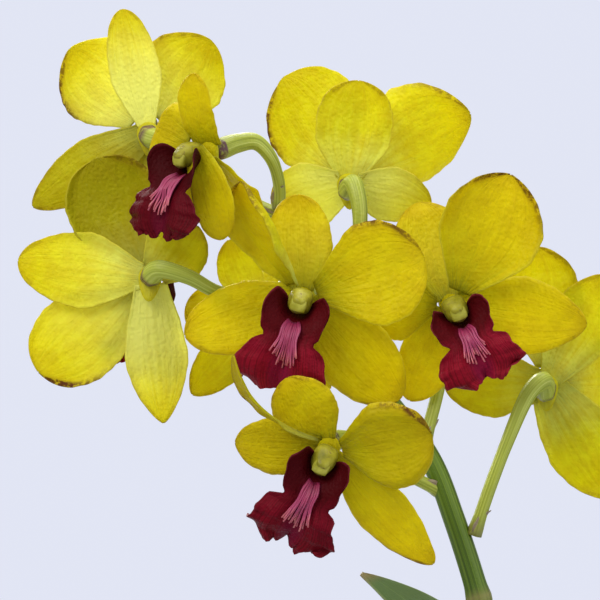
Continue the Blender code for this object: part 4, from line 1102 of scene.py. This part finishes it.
def build_roots(root):
    """Roots that wander over the bark, thickest where they leave the rhizome."""
    rng = random.Random(5)
    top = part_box("medium")[1].z
    for name, (places, radius) in ROOTS.items():
        rows = smooth_path([(x, y, 0.0, radius) for x, y in places], 60) * MM
        wander = np.linspace(0.0, 1.0, 60)
        rows[:, 2] = top + 0.0018 + 0.0006 * np.sin(9.0 * wander + len(places)) ** 2
        rows[:, 3] *= 1.0 + 0.06 * np.sin(25.0 * wander) - 0.25 * np.clip((wander - 0.9) / 0.1, 0.0, 1.0)
        shape = new_shape()
        swept(shape, rows, 18)
        finish(f"{name}_skin", shape, [root], [name])
    shape = new_shape()
    for index in range(7):
        angle = 0.6 + index * 0.93
        reach = rng.uniform(0.026, 0.044)
        foot = Vector((rng.uniform(-0.016, 0.022), rng.uniform(-0.002, 0.006), top + 0.004))
        places = [(*foot, 0.0014)]
        for step in range(1, 5):
            swing = angle + 0.35 * math.sin(step * 1.7 + index)
            share = step / 4
            spot = (foot.x + reach * share * math.cos(swing), foot.y + reach * share * math.sin(swing))
            height = top + (0.0030 if step < 4 else -0.0022)
            places.append((spot[0], spot[1], height, 0.0014 - 0.0004 * share))
        swept(shape, smooth_path(places, 40), 12)
    finish("fine_roots", shape, [root])


# ---------------------------------------------------------------- pot and bark

def build_bark(bark, bed):
    """Loose bark chips over the medium."""
    rng = random.Random(11)
    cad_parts["medium"].data.materials.clear()
    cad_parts["medium"].data.materials.append(bed)
    low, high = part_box("medium")
    reach = (high.x - low.x) / 2 - 0.0045
    shape = new_shape()
    painted = shape.verts.layers.float_vector["marks"]
    for number in range(330):
        distance = reach * math.sqrt((number + 0.5) / 330)
        angle = number * 2.399963
        size = rng.uniform(0.0028, 0.0058)
        made = bmesh.ops.create_cube(shape, size=1.0)["verts"]
        edges = list({edge for vertex in made for edge in vertex.link_edges})
        made = bmesh.ops.bevel(shape, geom=edges, offset=0.20, offset_type="OFFSET", segments=1, affect="EDGES",
                               profile=0.5, material=-1)["verts"]
        stretch = Vector((rng.uniform(1.0, 1.9), rng.uniform(0.7, 1.1), rng.uniform(0.35, 0.6))) * size
        spin = (Matrix.Rotation(rng.uniform(0, 6.28), 3, "Z") @ Matrix.Rotation(rng.uniform(-0.5, 0.5), 3, "X")
                @ Matrix.Rotation(rng.uniform(-0.45, 0.45), 3, "Y"))
        centre = Vector((distance * math.cos(angle), distance * math.sin(angle), high.z + rng.uniform(-0.0012, 0.0016)))
        shade = rng.random()
        for vertex in made:
            jag = Vector((rng.uniform(-1, 1), rng.uniform(-1, 1), rng.uniform(-1, 1))) * 0.09
            spot = vertex.co + jag
            vertex.co = centre + spin @ Vector((spot.x * stretch.x, spot.y * stretch.y, spot.z * stretch.z))
            vertex[painted] = (shade, 0.0, 0.0)
    finish("bark_chips", shape, [bark], smooth=False)


def build_pot(clay):
    """The turned clay pot, with a rolled rim, thrown marks and drain holes."""
    low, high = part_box("pot")
    rim = (high.x - low.x) / 2
    height = high.z
    top_radius = rim - 0.004
    wall = 0.0052
    base = 0.042
    floor = 0.007
    rim_low = height - 0.020

    def side_radius(z):
        return base + (top_radius - base) * z / height

    corners = [
        (0.0, 0.0), (base - 0.0020, 0.0), (base - 0.0004, 0.0006), (base + 0.0001, 0.0020),
        (side_radius(0.030), 0.030), (side_radius(0.060), 0.060), (side_radius(rim_low) - 0.0002, rim_low - 0.0016),
        (side_radius(rim_low) + 0.0003, rim_low - 0.0003), (rim - 0.0022, rim_low), (rim - 0.0008, rim_low + 0.0007),
        (rim - 0.0004, rim_low + 0.0020), (rim - 0.0002, height - 0.0030), (rim - 0.0006, height - 0.0010),
        (rim - 0.0018, height - 0.0001), (top_radius - wall + 0.0030, height), (top_radius - wall + 0.0016, height - 0.0006),
        (top_radius - wall + 0.0010, height - 0.0020), (side_radius(0.050) - wall, 0.050), (side_radius(floor) - wall, floor),
        (0.0, floor),
    ]
    shape = bmesh.new()
    verts = [shape.verts.new((radius, 0.0, z)) for radius, z in corners]
    edges = [shape.edges.new(pair) for pair in zip(verts, verts[1:])]
    bmesh.ops.spin(shape, geom=verts + edges, cent=(0, 0, 0), axis=(0, 0, 1), angle=2 * math.pi, steps=120,
                   use_merge=True)
    bmesh.ops.remove_doubles(shape, verts=shape.verts, dist=0.000002)
    bmesh.ops.recalc_face_normals(shape, faces=shape.faces)
    for vertex in shape.verts:
        angle = math.atan2(vertex.co.y, vertex.co.x)
        wobble = 1.0 + 0.0022 * math.sin(2 * angle + 0.6) + 0.0010 * math.sin(5 * angle + vertex.co.z * 60)
        vertex.co.x *= wobble
        vertex.co.y *= wobble
    mesh = bpy.data.meshes.new("pot_wall")
    shape.to_mesh(mesh)
    shape.free()
    pot = bpy.data.objects.new("clay_pot", mesh)
    bpy.context.scene.collection.objects.link(pot)
    cutters = []
    for index in range(5):
        angle = 2 * math.pi * index / 5
        drill = bmesh.new()
        bmesh.ops.create_cone(drill, cap_ends=True, segments=32, radius1=0.0054, radius2=0.0048, depth=0.014,
                              matrix=Matrix.Translation((0.024 * math.cos(angle), 0.024 * math.sin(angle), 0.0052)))
        hole = bpy.data.meshes.new(f"drain_{index}")
        drill.to_mesh(hole)
        drill.free()
        cutter = bpy.data.objects.new(f"drain_{index}", hole)
        bpy.context.scene.collection.objects.link(cutter)
        cut = pot.modifiers.new(f"drain_{index}", "BOOLEAN")
        cut.operation = "DIFFERENCE"
        cut.solver = "EXACT"
        cut.object = cutter
        cutters.append(cutter)
    graph = bpy.context.evaluated_depsgraph_get()
    finished = bpy.data.meshes.new_from_object(pot.evaluated_get(graph))
    pot.modifiers.clear()
    pot.data = finished
    for cutter in cutters:
        bpy.data.objects.remove(cutter, do_unlink=True)
    finished.materials.clear()
    finished.materials.append(clay)
    finished.polygons.foreach_set("use_smooth", [True] * len(finished.polygons))
    finished.set_sharp_from_angle(angle=math.radians(40))
    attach(pot, "root")
    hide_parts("pot")


# ---------------------------------------------------------------- stage

def build_stage():
    """Pale floor, soft light and the camera level with the flowers."""
    shape = bmesh.new()
    bmesh.ops.create_circle(shape, cap_ends=True, segments=96, radius=1.6)
    mesh = bpy.data.meshes.new("floor")
    shape.to_mesh(mesh)
    shape.free()
    floor = bpy.data.objects.new("floor", mesh)
    bpy.context.scene.collection.objects.link(floor)
    material, recipe, shader = new_material("floor_paint", 0.85)
    tone = recipe.noise(recipe.place(), 3.0)
    plug(recipe, shader, Base_Color=recipe.ramp(tone, [(0.3, (0.40, 0.42, 0.47)), (0.7, (0.43, 0.45, 0.50))]))
    mesh.materials.append(material)

    world = bpy.data.worlds.new("soft_room")
    bpy.context.scene.world = world
    world.use_nodes = True
    sky = Recipe(world.node_tree)
    background = world.node_tree.nodes["Background"]
    background.inputs["Strength"].default_value = 0.50
    shown = sky.add("ShaderNodeBackground")
    shown.inputs["Color"].default_value = (0.757, 0.786, 0.905, 1.0)
    shown.inputs["Strength"].default_value = 1.0
    background.inputs["Color"].default_value = (0.92, 0.95, 1.0, 1.0)
    path = sky.add("ShaderNodeLightPath")
    both = sky.add("ShaderNodeMixShader", None, i0=path.outputs["Is Camera Ray"], i1=background.outputs[0],
                   i2=shown.outputs[0])
    sky.tree.links.new(both.outputs[0], world.node_tree.nodes["World Output"].inputs["Surface"])

    centre = hub_of("e")
    for name, place, size, power, colour in (
            ("key", (-0.75, -1.05, 0.95), 0.9, 17.0, (1.0, 0.98, 0.94)),
            ("fill", (1.2, -0.8, 0.35), 1.2, 6.0, (0.94, 0.97, 1.0)),
            ("back", (-0.45, 1.25, 0.75), 1.0, 32.0, (1.0, 0.99, 0.96)),
            ("top", (0.1, 0.1, 1.3), 1.0, 12.0, (1.0, 1.0, 1.0))):
        light = bpy.data.lights.new(name, "AREA")
        light.shape = "DISK"
        light.size = size
        light.energy = power
        light.color = colour
        lamp = bpy.data.objects.new(name, light)
        bpy.context.scene.collection.objects.link(lamp)
        lamp.location = centre + Vector(place)
        lamp.rotation_euler = (-Vector(place)).to_track_quat("-Z", "Y").to_euler()

    camera = bpy.data.cameras.new("camera")
    camera.sensor_width = 36.0
    camera.lens = 230.8
    eye = bpy.data.objects.new("camera", camera)
    bpy.context.scene.collection.objects.link(eye)
    eye.location = centre + Vector((-0.0008, -1.0, -0.0005))
    eye.rotation_euler = (math.pi / 2, 0.0, 0.0)
    bpy.context.scene.camera = eye
    bpy.context.scene.view_settings.view_transform = "Standard"


def build():
    """Build every piece, then the stage."""
    skin = make_skin_group()
    petal, lip, strands = petal_material(skin), lip_material(skin), strand_material()
    column, sheath = column_material(skin), sheath_material(skin)
    for letter in FLOWERS:
        build_flower(letter, petal, lip, strands, column)
    build_flower_stem(stem_material(skin), sheath)
    build_leaves(leaf_material(skin))
    build_canes(cane_material(skin), sheath)
    build_roots(root_material())
    build_bark(bark_material("bark_chip", 1.0), bark_material("bark_bed", 0.5))
    build_pot(clay_material())
    build_stage()


build()
